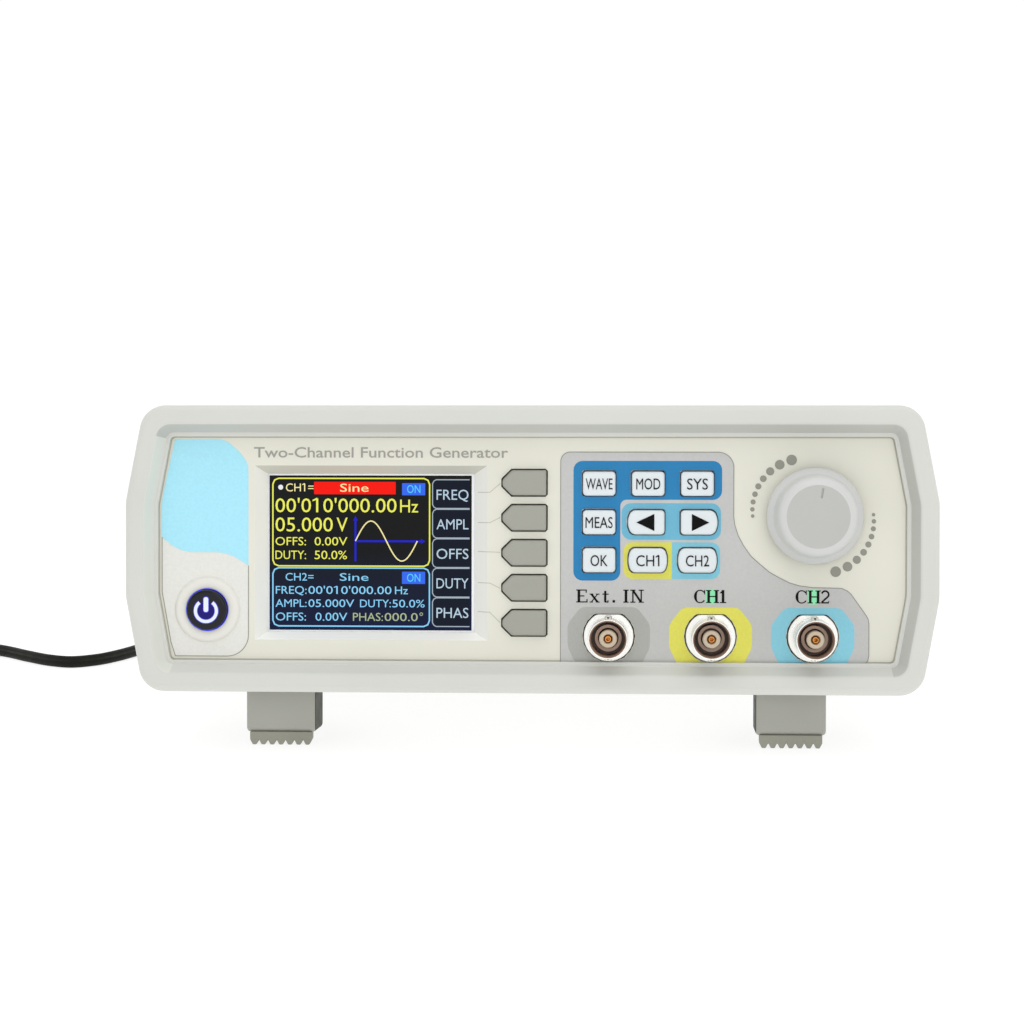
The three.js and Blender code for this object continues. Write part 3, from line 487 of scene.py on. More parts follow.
def stroke(line, width, y0, y1, closed=False):
    """A printed line of that width along (x, z) points."""
    line = [Vector(p) for p in line]
    count = len(line)
    rings = []
    for i, p in enumerate(line):
        before = line[i - 1] if i or closed else None
        after = line[(i + 1) % count] if i < count - 1 or closed else None
        ways = [(b - a).normalized() for a, b in ((before, p), (p, after)) if a is not None and b is not None]
        way = sum(ways, Vector((0, 0)))
        way = way.normalized() if way.length > 1e-9 else ways[0]
        side = Vector((-way.y, way.x))
        stretch = 1 / max(0.5, side.dot(Vector((-ways[0].y, ways[0].x))))
        a, b = p + side * width / 2 * stretch, p - side * width / 2 * stretch
        rings.append([(a.x, y0, a.y), (b.x, y0, b.y), (b.x, y1, b.y), (a.x, y1, a.y)])
    return loft(rings, closed)


def box(x0, x1, y0, y1, z0, z1):
    return loft([[(x, y0, z0), (x, y1, z0), (x, y1, z1), (x, y0, z1)] for x in (x0, x1)])


def outward(a, b):
    """The outward direction of one side of an anticlockwise outline."""
    return Vector((b[1] - a[1], a[0] - b[0])).normalized()


def inset_corner(before, corner, after, inset):
    """Where an anticlockwise outline's corner goes when both its sides move inwards."""
    one, two = outward(before, corner), outward(corner, after)
    return Vector(corner) - (one + two) * inset / (1 + one.dot(two))


CASE_CORNERS = [(95.7, 0), (100, 23.5), (100, 47), (95.4, 70.8)]
CASE_CORNERS += [(-x, z) for x, z in reversed(CASE_CORNERS)]
# How far in from the case's outside, and the corner radius there
CORNER_RADII = [(0, 6.5), (2.2, 4.6), (4.7, 3.6), (6.85, 1.7), (7.7, 1.1)]
BEND_RADIUS = 12


def corner_radius(inset):
    for (i0, r0), (i1, r1) in zip(CORNER_RADII, CORNER_RADII[1:]):
        if inset <= i1:
            return r0 + (r1 - r0) * max(0, inset - i0) / (i1 - i0)
    return r1


def case_outline(inset, corner_steps=12, bend_steps=6):
    """The case's cross-section moved inwards: always the same number of (x, z) points."""
    points = []
    for i, corner in enumerate(CASE_CORNERS):
        last, following = CASE_CORNERS[i - 1], CASE_CORNERS[(i + 1) % len(CASE_CORNERS)]
        before, after = outward(last, corner), outward(corner, following)
        tight = i % 4 in (0, 3)
        radius = corner_radius(inset) if tight else max(BEND_RADIUS - inset, 0.8)
        steps = corner_steps if tight else bend_steps
        centre = inset_corner(last, corner, following, inset + radius)
        start = atan2(before.y, before.x)
        turn = atan2(before.x * after.y - before.y * after.x, before.dot(after))
        for s in range(steps + 1):
            a = start + turn * s / steps
            points.append((centre.x + radius * cos(a), centre.y + radius * sin(a)))
    return points


def hoop(section):
    """A closed section of (inset, y) points carried round the case."""
    return loft([[(x, y, z) for x, z in case_outline(inset)] for inset, y in section], True)


# --- Lettering ---
CAPITAL = 0.729  # a capital's height in text of size 1


def text_mesh(text, weight):
    """A line of text of size 1 as (points, faces), with its letters swollen by the weight."""
    curve = bpy.data.curves.new("text", "FONT")
    curve.body = text
    curve.size = 1.0
    curve.resolution_u = 3
    curve.offset = weight
    curve.fill_mode = "BOTH"
    curve.extrude = 0.5
    thing = add_object("text", curve)
    mesh = final_mesh(thing)
    points = [tuple(v.co) for v in mesh.vertices]
    faces = [tuple(p.vertices) for p in mesh.polygons]
    bpy.data.objects.remove(thing)
    bpy.data.meshes.remove(mesh)
    bpy.data.curves.remove(curve)
    return points, faces


def flag(stem, weight):
    """The slanting flag that the font leaves off its figure 1, at the stem's right edge."""
    outline = [(stem - 0.05, CAPITAL + weight), (stem - 0.05, CAPITAL - 0.1),
               (stem - 0.26, CAPITAL - 0.19 - weight), (stem - 0.26, CAPITAL - 0.115)]
    return loft([[(x, z, level) for x, z in outline] for level in (0.5, -0.5)])


def lettering(text, x, z, height, front, back, width=None, centred=False, weight=0.0):
    """Text as a thin solid in the x, z plane. height is a capital's height and width the whole line's."""
    solid = text_mesh(text, weight)
    for i, c in enumerate(text):
        if c == "1":
            stem = max(p[0] for p in text_mesh(text[:i + 1], weight)[0])
            solid = joined(solid, flag(stem, weight))
    points, faces = solid
    low, high = min(p[0] for p in points), max(p[0] for p in points)
    tall = height / CAPITAL
    wide = width / (high - low) if width else tall
    start = x - (high - low) / 2 * wide if centred else x
    points = [(start + (a - low) * wide, front if c > 0 else back, z + b * tall) for a, b, c in points]
    return points, faces


# --- The lead ---
# Out of its plug, down to the table behind the case, forward beside it, away to
# the left, and wound up beside its wall adapter. Millimetres above the table.
LIE = 1.9
ROUTE = [(-59.5, 137, 12.4), (-63.5, 144, 8.2), (-70, 148.5, 4.6), (-78, 149.5, 2.4)] + [
    (x, y, LIE) for x, y in (
        (-87, 146), (-95, 138.5), (-102, 128), (-108.5, 115), (-114.5, 100), (-120.5, 83), (-126.5, 66),
        (-131.5, 53), (-136.5, 45), (-143, 41), (-150, 43.5), (-158.5, 50.5), (-168, 59.5), (-178.5, 66),
        (-188, 67.8), (-197.5, 67.2),
    )
]
COIL_X, COIL_Y = -216, 92
# Turns so far, radius and height: inwards on the table, back outwards on top, and once over those.
COIL_PLAN = [(0, 26.2, LIE), (2.7, 16.4, LIE), (3.0, 16.2, 5.5), (5.72, 26.0, 5.5), (6.0, 26.2, 9.1),
             (6.25, 26, 9.1)]
COIL_STEPS = 24
NECK = (-242, 114, 5)
COIL_TO_NECK = [(-242, 98, 8.7), (-242, 104.5, 7.2), (-242, 110, 5.5), NECK]
PLUG_X, PLUG_Z, PLUG_END = -58, 19.4, 205.5


def coil_point(turns):
    for (t0, r0, h0), (t1, r1, h1) in zip(COIL_PLAN, COIL_PLAN[1:]):
        if turns <= t1 + 1e-9:
            share = (turns - t0) / (t1 - t0)
            soft = share * share * (3 - 2 * share)
            radius, height = r0 + (r1 - r0) * share, h0 + (h1 - h0) * soft
            angle = radians(-90) - 2 * pi * turns
            return Vector((COIL_X + radius * cos(angle), COIL_Y + radius * sin(angle), height))


def lead_points():
    points = [CASE @ Vector((PLUG_X, PLUG_END + d, PLUG_Z)) / MM for d in (0.3, 4, 8)]
    points += [Vector(p) for p in ROUTE]
    points += [coil_point(i / COIL_STEPS) for i in range(int(COIL_STEPS * COIL_PLAN[-1][0]) + 1)]
    points += [Vector(p) for p in COIL_TO_NECK]
    return points


def smooth_line(points, step=1.2):
    """A centripetal Catmull-Rom curve through the points, sampled about every step millimetres."""
    ends = [points[0] * 2 - points[1]] + points + [points[-1] * 2 - points[-2]]
    out = []
    for a, b, c, d in zip(ends, ends[1:], ends[2:], ends[3:]):
        knots = [0.0]
        for p, q in ((a, b), (b, c), (c, d)):
            knots.append(knots[-1] + max((q - p).length, 1e-6) ** 0.5)
        t0, t1, t2, t3 = knots
        count = max(2, round((c - b).length / step))
        for s in range(count):
            t = t1 + (t2 - t1) * s / count

            def between(p, q, low, high):
                return p * ((high - t) / (high - low)) + q * ((t - low) / (high - low))

            one, two, three = between(a, b, t0, t1), between(b, c, t1, t2), between(c, d, t2, t3)
            out.append(between(between(one, two, t0, t2), between(two, three, t1, t3), t1, t2))
    out.append(points[-1])
    return out


def twin_section(core=1.0, apart=0.8, count=10):
    """The outline of two cores side by side with a groove between them, (across, up)."""
    meet = degrees(acos(apart / core)) * 1.12
    points = []
    for sign, side in ((1, 0), (-1, 180)):
        points += arc(sign * apart, 0, core, side - 180 + meet, side + 180 - meet, count)
    return points


def make_lead():
    """Twin flex on its edge: it leans a little one way and the other along its length."""
    line = smooth_line(lead_points())
    rings = []
    travelled = 0.0
    for i, p in enumerate(line):
        way = (line[min(i + 1, len(line) - 1)] - line[max(i - 1, 0)]).normalized()
        if i:
            travelled += (p - line[i - 1]).length
        across = way.cross(Vector((0, 0, 1))).normalized()
        rise = across.cross(way)
        roll = pi / 2 + 0.12 * sin(travelled / 23) + 0.1 * sin(travelled / 61 + 1.0)
        one = across * cos(roll) + rise * sin(roll)
        two = rise * cos(roll) - across * sin(roll)
        rings.append([tuple(p + one * a + two * b) for a, b in twin_section()])
    lead = piece("lead", ROOT, loft(rings), LEAD, ["power_cord", "power_cord_coil"],
                 smooth=60, space=STAND)
    return lead, line, travelled


lead, lead_line, lead_length = make_lead()


def plug_profile():
    """The plug as (radius, y): contact sleeve, grip with grooves, and a ribbed strain relief."""
    profile = [(1.3, 161.5), (2.75, 161.5), (2.75, 171.1), (4.1, 171.1), (4.7, 172), (4.7, 176)]
    profile += [(4.45, 177.2)]
    for groove in range(5):
        y = 178 + 2.2 * groove
        profile += [(4.45, y), (4.2, y + 0.5), (4.2, y + 1.3), (4.45, y + 1.8)]
    profile += [(4.7, 190), (4.6, 191.2), (3.6, 193.6)]
    for rib in range(5):
        y, radius = 194.2 + 2.1 * rib, 3.45 - 0.22 * rib
        profile += [(radius, y), (radius, y + 1.1), (radius - 0.55, y + 1.3), (radius - 0.6, y + 1.9)]
    return profile + [(2.3, 204.7), (2.1, PLUG_END), (0.4, PLUG_END), (0.4, 170.3), (1.3, 170.3)]


def tie_band(half_width=2.6, thickness=0.5):
    """A soft band round the coil's turns, opposite the place where the lead leaves them."""
    inner, outer = [
        rounded([(14.2 - grow, 0.03), (14.2 - grow, 7.6 + grow), (16.4, 7.9 + grow), (22.8, 11.2 + grow),
                 (26.2, 11.3 + grow), (28.3 + grow, 9.8), (28.3 + grow, 0.03)], 1.6)
        for grow in (0.0, thickness)
    ]
    points, faces = slab(outer + inner[::-1], -half_width, half_width)
    return [(COIL_X + x, COIL_Y + y, z) for x, y, z in points], faces


ADAPTER_LEFT, ADAPTER_RIGHT, ADAPTER_FRONT, ADAPTER_BACK = -254, -212, 122, 182
# How far in from the adapter's sides, and the height there: rounded edges and a parting groove
ADAPTER_SIDE = [(3.2, 0.1), (1.6, 0.35), (0.6, 1.0), (0.1, 2.2), (0, 4), (0, 13.6), (0.35, 13.8),
                (0.35, 14.2), (0, 14.4), (0, 24), (0.1, 25.8), (0.6, 27.1), (1.6, 27.75), (3.2, 28)]


def adapter_shape():
    rings = []
    for inset, z in ADAPTER_SIDE:
        ring = round_rectangle(ADAPTER_LEFT + inset, ADAPTER_RIGHT - inset, ADAPTER_FRONT + inset,
                               ADAPTER_BACK - inset, 5 - inset * 0.5, 8)
        rings.append([(x, y, z) for x, y in ring])
    return loft(rings)


def neck_profile():
    """The adapter's strain relief as (radius, y)."""
    profile = [(0, 114), (2.4, 114), (2.5, 114.4)]
    for rib in range(3):
        y, radius = 115 + 2.2 * rib, 2.6 + 0.1 * rib
        profile += [(radius, y), (radius, y + 1), (radius - 0.4, y + 1.2), (radius - 0.4, y + 1.9)]
    return profile + [(3, 121.6), (3, 124), (0, 124)]


PIN_ROW = (150, 169)
PIN_HEIGHT = 14
PIN_PAD = 5
COLLAR_PROFILE = [(3.1, -0.3), (3.1, -0.9), (2.9, -1.1), (1.5, -1.1)]
PIN_PROFILE = [(2.0, 1), (2.0, -17.2), (1.9, -17.9), (1.55, -18.5), (1.0, -18.85), (0.4, -19)]


def pin_pad():
    """The raised pad that holds the adapter's pins."""
    rings = []
    for inset, depth in ((0.6, -0.5), (0.2, -0.42), (0.0, -0.1), (0.0, 1.5)):
        ring = round_rectangle(PIN_ROW[0] - PIN_PAD + inset, PIN_ROW[1] + PIN_PAD - inset,
                               PIN_HEIGHT - PIN_PAD + inset, PIN_HEIGHT + PIN_PAD - inset, 2 - inset)
        rings.append([(ADAPTER_LEFT + depth, y, z) for y, z in ring])
    return loft(rings)


def both_pins(profile):
    """A turned shape at each pin, from (radius, depth) pairs measured from the adapter's left side."""
    return joined(*[
        loft([[(ADAPTER_LEFT + depth, y + radius * a, PIN_HEIGHT + radius * b) for a, b in spokes(32)]
              for radius, depth in profile])
        for y in PIN_ROW
    ])


def on_lead(name, geometry, material=ADAPTER_BLACK, replaces=(), bevel=0.0,
            space=STAND):
    return piece(name, ROOT, geometry, material, replaces, bevel=bevel, space=space)


plug_shape = lathe(plug_profile(), PLUG_X, PLUG_Z, 48)
lead_parts = [
    on_lead("plug", plug_shape, replaces="dc_plug", bevel=0.12, space=CASE),
    on_lead("lead_tie", tie_band(), RUBBER),
    on_lead("adapter_case", adapter_shape(), replaces="adapter_body"),
    on_lead("adapter_neck", lathe(neck_profile(), NECK[0], NECK[2], 32), bevel=0.1),
    on_lead("adapter_pin_pad", pin_pad()),
    on_lead("adapter_pin_collars", both_pins(COLLAR_PROFILE)),
    on_lead("adapter_pins_round", both_pins(PIN_PROFILE), PLATED, "adapter_pins"),
]

# --- Bezels and covers ---
CASE_DEPTH, HALF_WIDTH, HALF_HEIGHT = 175, 100, 35.4
NARROWING = 0.113  # how fast the case gets narrower above and below its middle


def bezel_section(mirrored):
    """The bezel's section as (inset, y): rounded rim, sloping wall, lip and the inside."""
    outer = [(0, 18)] + arc(2.2, 2.2, 2.2, 180, 270)
    inner = rounded([(2.2, 0), (4.7, 0), (6.7, 3.75), (7.0, 3.7), (7.7, 3.75), (7.7, 4.2)], 0.7, 5)[1:-1]
    section = outer + inner + [(7.7, 4.2), (7.1, 4.3), (7.1, 4.7), (2.5, 4.7), (2.5, 18)]
    return [(inset, CASE_DEPTH - y) for inset, y in section] if mirrored else section


def on_bezel_wall(p):
    """The sloping wall between the bezel's flat rim and the panel."""
    half_width = HALF_WIDTH - NARROWING * abs(p.z - HALF_HEIGHT)
    return 0.3 < p.y < 3.7 and abs(p.x) < half_width - 3.4 and abs(p.z - HALF_HEIGHT) < 31.4


def round_screen(p):
    """The sloping walls of the recess round the screen."""
    return 5.1 < p.y < 8 and -72 < p.x < -9 and 9 < p.z < 60


def bezel_moulding(end, mirrored):
    section = hoop(bezel_section(mirrored))
    return piece(f"{end}_bezel_moulding", ROOT, section, SHELL, f"{end}_bezel", smooth=32)


bezel = bezel_moulding("front", False)
bezel_moulding("rear", True)
refined("top_cover", SHELL, 0.2)
refined("bottom_cover", SHELL, 0.2)
panel = refined("front_panel", PANEL, 0.12)
refined("rear_panel", PANEL, 0.15)
for i in range(1, 5):
    refined(f"case_screw_{i}", STEEL, 0.15)
# The bezel's sloping wall gets painted shade at its top and right, and painted light at its left.
paint(bezel, SHELL_PAINTED_SHADE, lambda p: on_bezel_wall(p) and (p.z > 63 or p.x > 80))
paint(bezel, SHELL_PAINTED_LIGHT, lambda p: on_bezel_wall(p) and p.z <= 63 and p.x < -80)
# The screen recess's walls: painted shade on the top wall, painted light on the bottom and side walls.
paint(panel, RECESS_TOP_PAINTED_SHADE, lambda p: round_screen(p) and p.z > 53.9)
paint(panel, RECESS_BOTTOM_PAINTED_LIGHT, lambda p: round_screen(p) and p.z < 14.6)
paint(panel, RECESS_SIDE_PAINTED_LIGHT, lambda p: round_screen(p) and 14.6 <= p.z <= 53.9 and (p.x < -65.4 or p.x > -13.9))

# --- Keys ---
KEY_HEIGHT = 5.95
KEY_CORNER = 0.9
LEGEND_HEIGHT = 2.85
LEGEND_FRONT, LEGEND_BACK = 3.57, 3.75


def key_outline(width, left_bulge=0.0, right_bulge=0.0):
    """A key's outline about its centre: rounded corners, and sides that may bow outwards."""
    top = KEY_HEIGHT / 2
    points = []
    for sign, bulge in ((1, right_bulge), (-1, left_bulge)):
        reach = width / 2 - bulge
        upper = arc(reach - KEY_CORNER, top - KEY_CORNER, KEY_CORNER, 0, 90, 6)
        lower = [(x, -z) for x, z in reversed(upper)]
        side = lower + [(reach, (top - KEY_CORNER) * k / 4) for k in range(-3, 4)] + upper
        side = [(sign * (x + bulge * (1 - (z / top) ** 2)), z) for x, z in side]
        points += side[::sign]
    return points


def softkey_outline():
    """A grey key's outline about its centre, with a blunt point on the left."""
    point, shoulder, right, top = -6.72, -4.37, 4.06, 3.1
    corners = [(shoulder, -top), (right, -top), (right, top), (shoulder, top), (point, 0.75), (point, -0.75)]
    return rounded_loop([(x - (point + right) / 2, z) for x, z in corners], 0.45)


def grown(points, extra, x=0.0, z=0.0):
    """An outline about its centre made larger by that much all round, and moved to x, z."""
    wide = max(abs(p[0]) for p in points)
    high = max(abs(p[1]) for p in points)
    return [(x + a * (1 + extra / wide), z + b * (1 + extra / high)) for a, b in points]


def key_cap(outline, x, z, dish=0.08):
    """A key with a slightly dished face, a rounded edge, a flange behind the panel and a stem."""
    steps = [(-2.2, 3.6 + dish), (-1.4, 3.6 + dish * 0.7), (-0.8, 3.6), (-0.5, 3.61), (-0.3, 3.68),
             (-0.14, 3.8), (-0.04, 4.0), (0, 4.3), (0, 8.3), (0.8, 8.3), (0.8, 9.1)]
    rings = [[(a, y, b) for a, b in grown(outline, extra, x, z)] for extra, y in steps]
    return joined(loft(rings), box(x - 1.5, x + 1.5, 8.8, 11.2, z - 1.5, z + 1.5))


KEY_INK = print_ink("key_ink", (26, 28, 32), spec=0.15)
ARROW_INK = print_ink("arrow_ink", (8, 8, 8), spec=0.1)
LEFT_ARROW = [(26.25, 42.1), (30.65, 40.0), (30.65, 44.2)]
RIGHT_ARROW = [(44.1, 42.1), (39.85, 44.2), (39.85, 40.0)]
# Name, centre, outline, and the legend with its width, or an arrow
SQUARE_KEY = key_outline(8)
KEYPAD = [
    ("key_wave", 17.1, 51.6, SQUARE_KEY, "WAVE", 6.6),
    ("key_mod", 29.15, 51.6, SQUARE_KEY, "MOD", 5.9),
    ("key_sys", 41.2, 51.6, SQUARE_KEY, "SYS", 5.1),
    ("key_meas", 17.1, 42.1, SQUARE_KEY, "MEAS", 6.7),
    ("key_left", 28.66, 42.1, key_outline(9, left_bulge=1), LEFT_ARROW, 0),
    ("key_right", 41.66, 42.1, key_outline(9, right_bulge=1), RIGHT_ARROW, 0),
    ("key_ok", 17.1, 32.75, SQUARE_KEY, "OK", 4.2),
    ("key_ch1", 29.06, 32.75, key_outline(9.5, 0.8, 0.8), "CH1", 5.7),
    ("key_ch2", 41.24, 32.75, key_outline(9.5, 0.8, 0.8), "CH2", 5.7),
]
for i in range(5):
    name = f"softkey_{i + 1}"
    geometry = key_cap(softkey_outline(), -1.33, 34.5 + 8.64 * (2 - i), 0.05)
    piece(name + "_moulding", name + "_cap", geometry, KEY_GREY, name, smooth=28)
for name, x, z, outline, legend, wide in KEYPAD:
    piece(name + "_moulding", name + "_cap", key_cap(outline, x, z), KEY_WHITE, name, smooth=28)
    if isinstance(legend, str):
        geometry = lettering(legend, x, z - 1.4, LEGEND_HEIGHT, LEGEND_FRONT, LEGEND_BACK, wide, True)
        ink = KEY_INK
    else:
        geometry = slab(legend, LEGEND_FRONT - 0.01, LEGEND_BACK)
        ink = ARROW_INK
    piece(name + "_legend", name + "_cap", geometry, ink)

# --- Power button ---
POWER_X, POWER_Z = -80.1, 20.15
SYMBOL_X, SYMBOL_Z, SYMBOL_RADIUS = POWER_X - 0.1, POWER_Z - 0.25, 2.62
SYMBOL_BACK = 3.3
WHITE_LIGHT = lit("symbol_light", (232, 240, 255))
SYMBOL_GLOW = lit("symbol_glow", (88, 84, 226), 0.9)
SYMBOL_HAZE = lit("symbol_haze", (38, 30, 118), 0.9)


def turned(name, body, profile, material, replaces=(), smooth=40, segments=72):
    """A piece turned about the power button's centre."""
    piece(name, body, lathe(profile, POWER_X, POWER_Z, segments), material, replaces, smooth)


def symbol(name, geometry, light):
    piece("power_symbol_" + name, "power_cap", geometry, light)


def symbol_arc(start, width, front):
    line = arc(SYMBOL_X, SYMBOL_Z, SYMBOL_RADIUS, start, 540 - start, 40)
    return stroke(line, width, front, SYMBOL_BACK)


def symbol_bar(wider, longer, radius, front):
    outline = round_rectangle(POWER_X - 0.68 - wider, POWER_X + 0.48 + wider, POWER_Z - 0.5 - longer,
                              POWER_Z + 3.15 + longer, radius)
    return slab(outline, front, SYMBOL_BACK)


turned("power_cap_moulding", "power_cap", [
    (0, 3.12), (3, 3.08), (4.3, 3.0), (4.7, 3.06), (4.9, 3.22), (5.0, 3.5), (5.0, 9.3), (6.4, 9.3),
    (6.4, 9.8), (0, 9.8),
], BLACK_GLOSS, "power_button")
symbol("arc", symbol_arc(128, 0.78, 2.97), WHITE_LIGHT)
symbol("bar", symbol_bar(0, 0, 0.5, 2.97), WHITE_LIGHT)
symbol("haze", slab(circle(SYMBOL_X, SYMBOL_Z, 2.3), 2.992, SYMBOL_BACK), SYMBOL_HAZE)
symbol("glow", joined(symbol_arc(126, 1.12, 2.985), symbol_bar(0.16, 0.18, 0.6, 2.985)), SYMBOL_GLOW)
turned("power_light_ring", ROOT, [
    (5.12, 4.7), (5.2, 4.55), (6.65, 4.6), (6.8, 4.75), (6.8, 8.3), (7.9, 8.3), (7.9, 9), (5.12, 9),
], RING_LIGHT, "power_ring")
turned("power_collar", ROOT, [
    (5.3, 4.5), (5.32, 4.3), (5.6, 4.15), (6.9, 4.1), (7.5, 4.2), (7.95, 4.5), (8.2, 5.02), (7.25, 5.02),
    (7.25, 4.5),
], COLLAR, smooth=50, segments=96)

# --- Encoder and knob ---
KNOB_X, KNOB_Z = 69.9, 43.8
KNOB_FACE_RADIUS = 7.62
POINTER_TILT = Matrix.Rotation(radians(9), 3, "Y")
KNOB_PROFILE = rounded([
    (0, -8.93), (7.0, -8.93), (7.75, -9), (9.0, -8.2), (9.6, -7.2), (10.2, 0.4), (11.2, 1.3), (11.8, 2.1),
    (11.8, 3), (9.6, 3), (8.4, -6), (5.2, -6), (5.2, 1), (3.3, 1), (3.3, -5.7), (0, -5.7),
], 0.3, 3)
knob = piece("knob_moulding", "knob_and_shaft", lathe(KNOB_PROFILE, KNOB_X, KNOB_Z, 96), KNOB,
             "knob", smooth=40)
points, faces = box(-0.26, 0.26, -10, -8.6, 4.6, 6.9)
carved(knob, ([Vector((KNOB_X, 0, KNOB_Z)) + POINTER_TILT @ Vector(p) for p in points], faces))
paint(knob, KNOB_FACE, lambda p: p.y < -8.5 and hypot(p.x - KNOB_X, p.z - KNOB_Z) < KNOB_FACE_RADIUS)
refined("encoder_shaft", ALUMINIUM, 0.2, "knob_and_shaft")
refined("encoder_body", ALUMINIUM, 0.2)
refined("encoder_plunger", BLACK, 0.15, "encoder_push")
refined("power_switch", BLACK, 0.2)

# --- Panel print, in thin films just in front of the panel ---
PRINT_BACK = 5.02
DOT_INK = print_ink("dot_ink", (149, 149, 139))
DOTS = [1.3, 1.18, 1.0, 0.82, 0.75, 0.68, 0.62, 0.55, 0.43]
DOT_GAP = 0.66
# Side, centre and radius of the dots' arc, and the angle of its largest dot
DOT_ARCS = [("upper", 67.47, 45.08, 12.81, 104.7), ("lower", 71.38, 42.5, 12.93, -73.5)]


def film(outline, front, holes=()):
    return slab(outline, front, PRINT_BACK, holes)


def printed(name, geometry, ink):
    piece(name, ROOT, geometry, ink)


for side, x, z, radius, angle in DOT_ARCS:
    parts = []
    for here, after in zip(DOTS, DOTS[1:] + [0]):
        turn = radians(angle)
        parts.append(film(circle(x + radius * cos(turn), z + radius * sin(turn), here, 32), 4.93))
        angle += degrees((here + after + DOT_GAP) / radius)
    printed(f"knob_dots_{side}", joined(*parts), DOT_INK)

# --- BNC jacks ---
JACK_Z = 14.05
JACKS = [19.5, 44.5, 69.5]
FLAT_TOP = 5.35
BARREL_PROFILE = [
    (4.15, -7.1), (4.5, -7.95), (4.55, -8), (4.7, -8), (4.8, -7.85), (4.8, -5.6), (4.62, -5.45), (4.62, -4.9),
    (4.8, -4.75), (4.8, 2.6), (4.65, 2.7), (4.65, 3.2), (4.8, 3.3), (4.8, 3.5), (5.95, 3.5), (6.1, 3.65),
    (6.1, 9.5), (5, 9.5), (5, 13.2), (2.5, 13.2), (2.5, -2.5), (3.25, -2.5), (3.35, 1), (4.15, 1),
]
SLEEVE_PROFILE = [(1.05, -5.7), (1.25, -6), (2.0, -6), (2.2, -5.8), (2.2, 12.9), (1.05, 12.9)]
CONTACT_PROFILE = [(0.45, -6.2), (0.52, -6.3), (0.68, -6.3), (0.75, -6.2), (0.75, 16.6), (0.01, 16.6),
                   (0.01, -2), (0.45, -2)]
LUG_Y = -3


def lug(x, sign):
    """A bayonet lug: a short round stud with a softened end, above or below the barrel."""
    rings = []
    for reach, radius in ((4.4, 0.85), (5.25, 0.85), (5.42, 0.75), (5.5, 0.5)):
        rings.append([(x + radius * a, LUG_Y + radius * b, JACK_Z + sign * reach) for a, b in spokes(20)])
    return loft(rings)


def make_jack(i, x):
    def from_axis(p):
        return hypot(p.x - x, p.z - JACK_Z)

    points, faces = lathe(BARREL_PROFILE, x, JACK_Z, 72)
    points = [(a, b, min(c, JACK_Z + FLAT_TOP)) if 3.4 < b < 9.7 else (a, b, c) for a, b, c in points]
    shell = piece(f"bnc_shell_{i}", ROOT, (points, faces), NICKEL, f"bnc_body_{i}", smooth=28)
    # Painted shade on the inside of the bore.
    paint(shell, NICKEL_INSIDE_PAINTED_SHADE, lambda p: from_axis(p) < 4.5 and p.y < 12)
    paint(shell, BARREL, lambda p: from_axis(p) > 4.56 and -7.9 < p.y < 3.4)
    paint(shell, NICKEL_FLOOR, lambda p: from_axis(p) < 3.3 and p.y < -2.4)
    lugs = piece(f"bnc_lugs_{i}", ROOT, joined(lug(x, -1), lug(x, 1)), LUG)
    # Painted shade lines down the lug's middle strip and outer sides, below its tip.
    paint(lugs, LUG_PAINTED_SHADE, lambda p: not 0.2 <= abs(p.x - x) <= 0.75 and abs(p.z - JACK_Z) < 5.3)
    sleeve, socket = lathe(SLEEVE_PROFILE, x, JACK_Z, 48), lathe(CONTACT_PROFILE, x, JACK_Z, 32)
    piece(f"bnc_sleeve_{i}", ROOT, sleeve, PTFE, f"bnc_insulator_{i}", smooth=40)
    piece(f"bnc_socket_{i}", ROOT, socket, GOLD, f"bnc_contact_{i}", smooth=40)


for i, x in enumerate(JACKS, 1):
    make_jack(i, x)

# --- Printed areas, and a painted shadow line along the panel's edge ---
EDGE_SHADOW_FRONT, POWER_FRONT, LABEL_FRONT, COLOUR_FRONT = 4.97, 4.965, 4.95, 4.93
LIGHT_FRONT, OUTLINE_FRONT, LETTER_FRONT = 4.925, 4.91, 4.905
LABEL_GREY = print_ink("label_grey", (196, 196, 194))
LINE_GREY = print_ink("line_grey", (150, 149, 142))
INK_BLUE = print_ink("ink_blue", (34, 127, 182))
INK_SKY = print_ink("ink_sky", (110, 181, 208))
INK_JACK_2 = print_ink("ink_jack_2", (140, 208, 226))
INK_YELLOW = print_ink("ink_yellow", (219, 216, 92))
INK_JACK_1 = print_ink("ink_jack_1", (230, 226, 96))
INK_TEAL = print_ink("ink_teal", (128, 198, 217))
INK_PALE_BLUE = print_ink("ink_pale_blue", (170, 231, 248))
INK_EXT = print_ink("ink_ext", (176, 177, 172))
INK_BLACK = print_ink("ink_black", (12, 12, 12), spec=0.15)
PANEL_PALE = print_ink("panel_pale", (228, 228, 222))
# A painted shadow line, made with the ink shader
PANEL_EDGE_PAINTED_SHADOW = print_ink("panel_edge_painted_shadow", (192, 190, 176))
TITLE_INK = print_ink("title_ink", (160, 159, 152))
LEADER_INK = print_ink("leader_ink", (196, 193, 182))
LED_GREEN = lit("led_green", (150, 240, 185), 0.85)

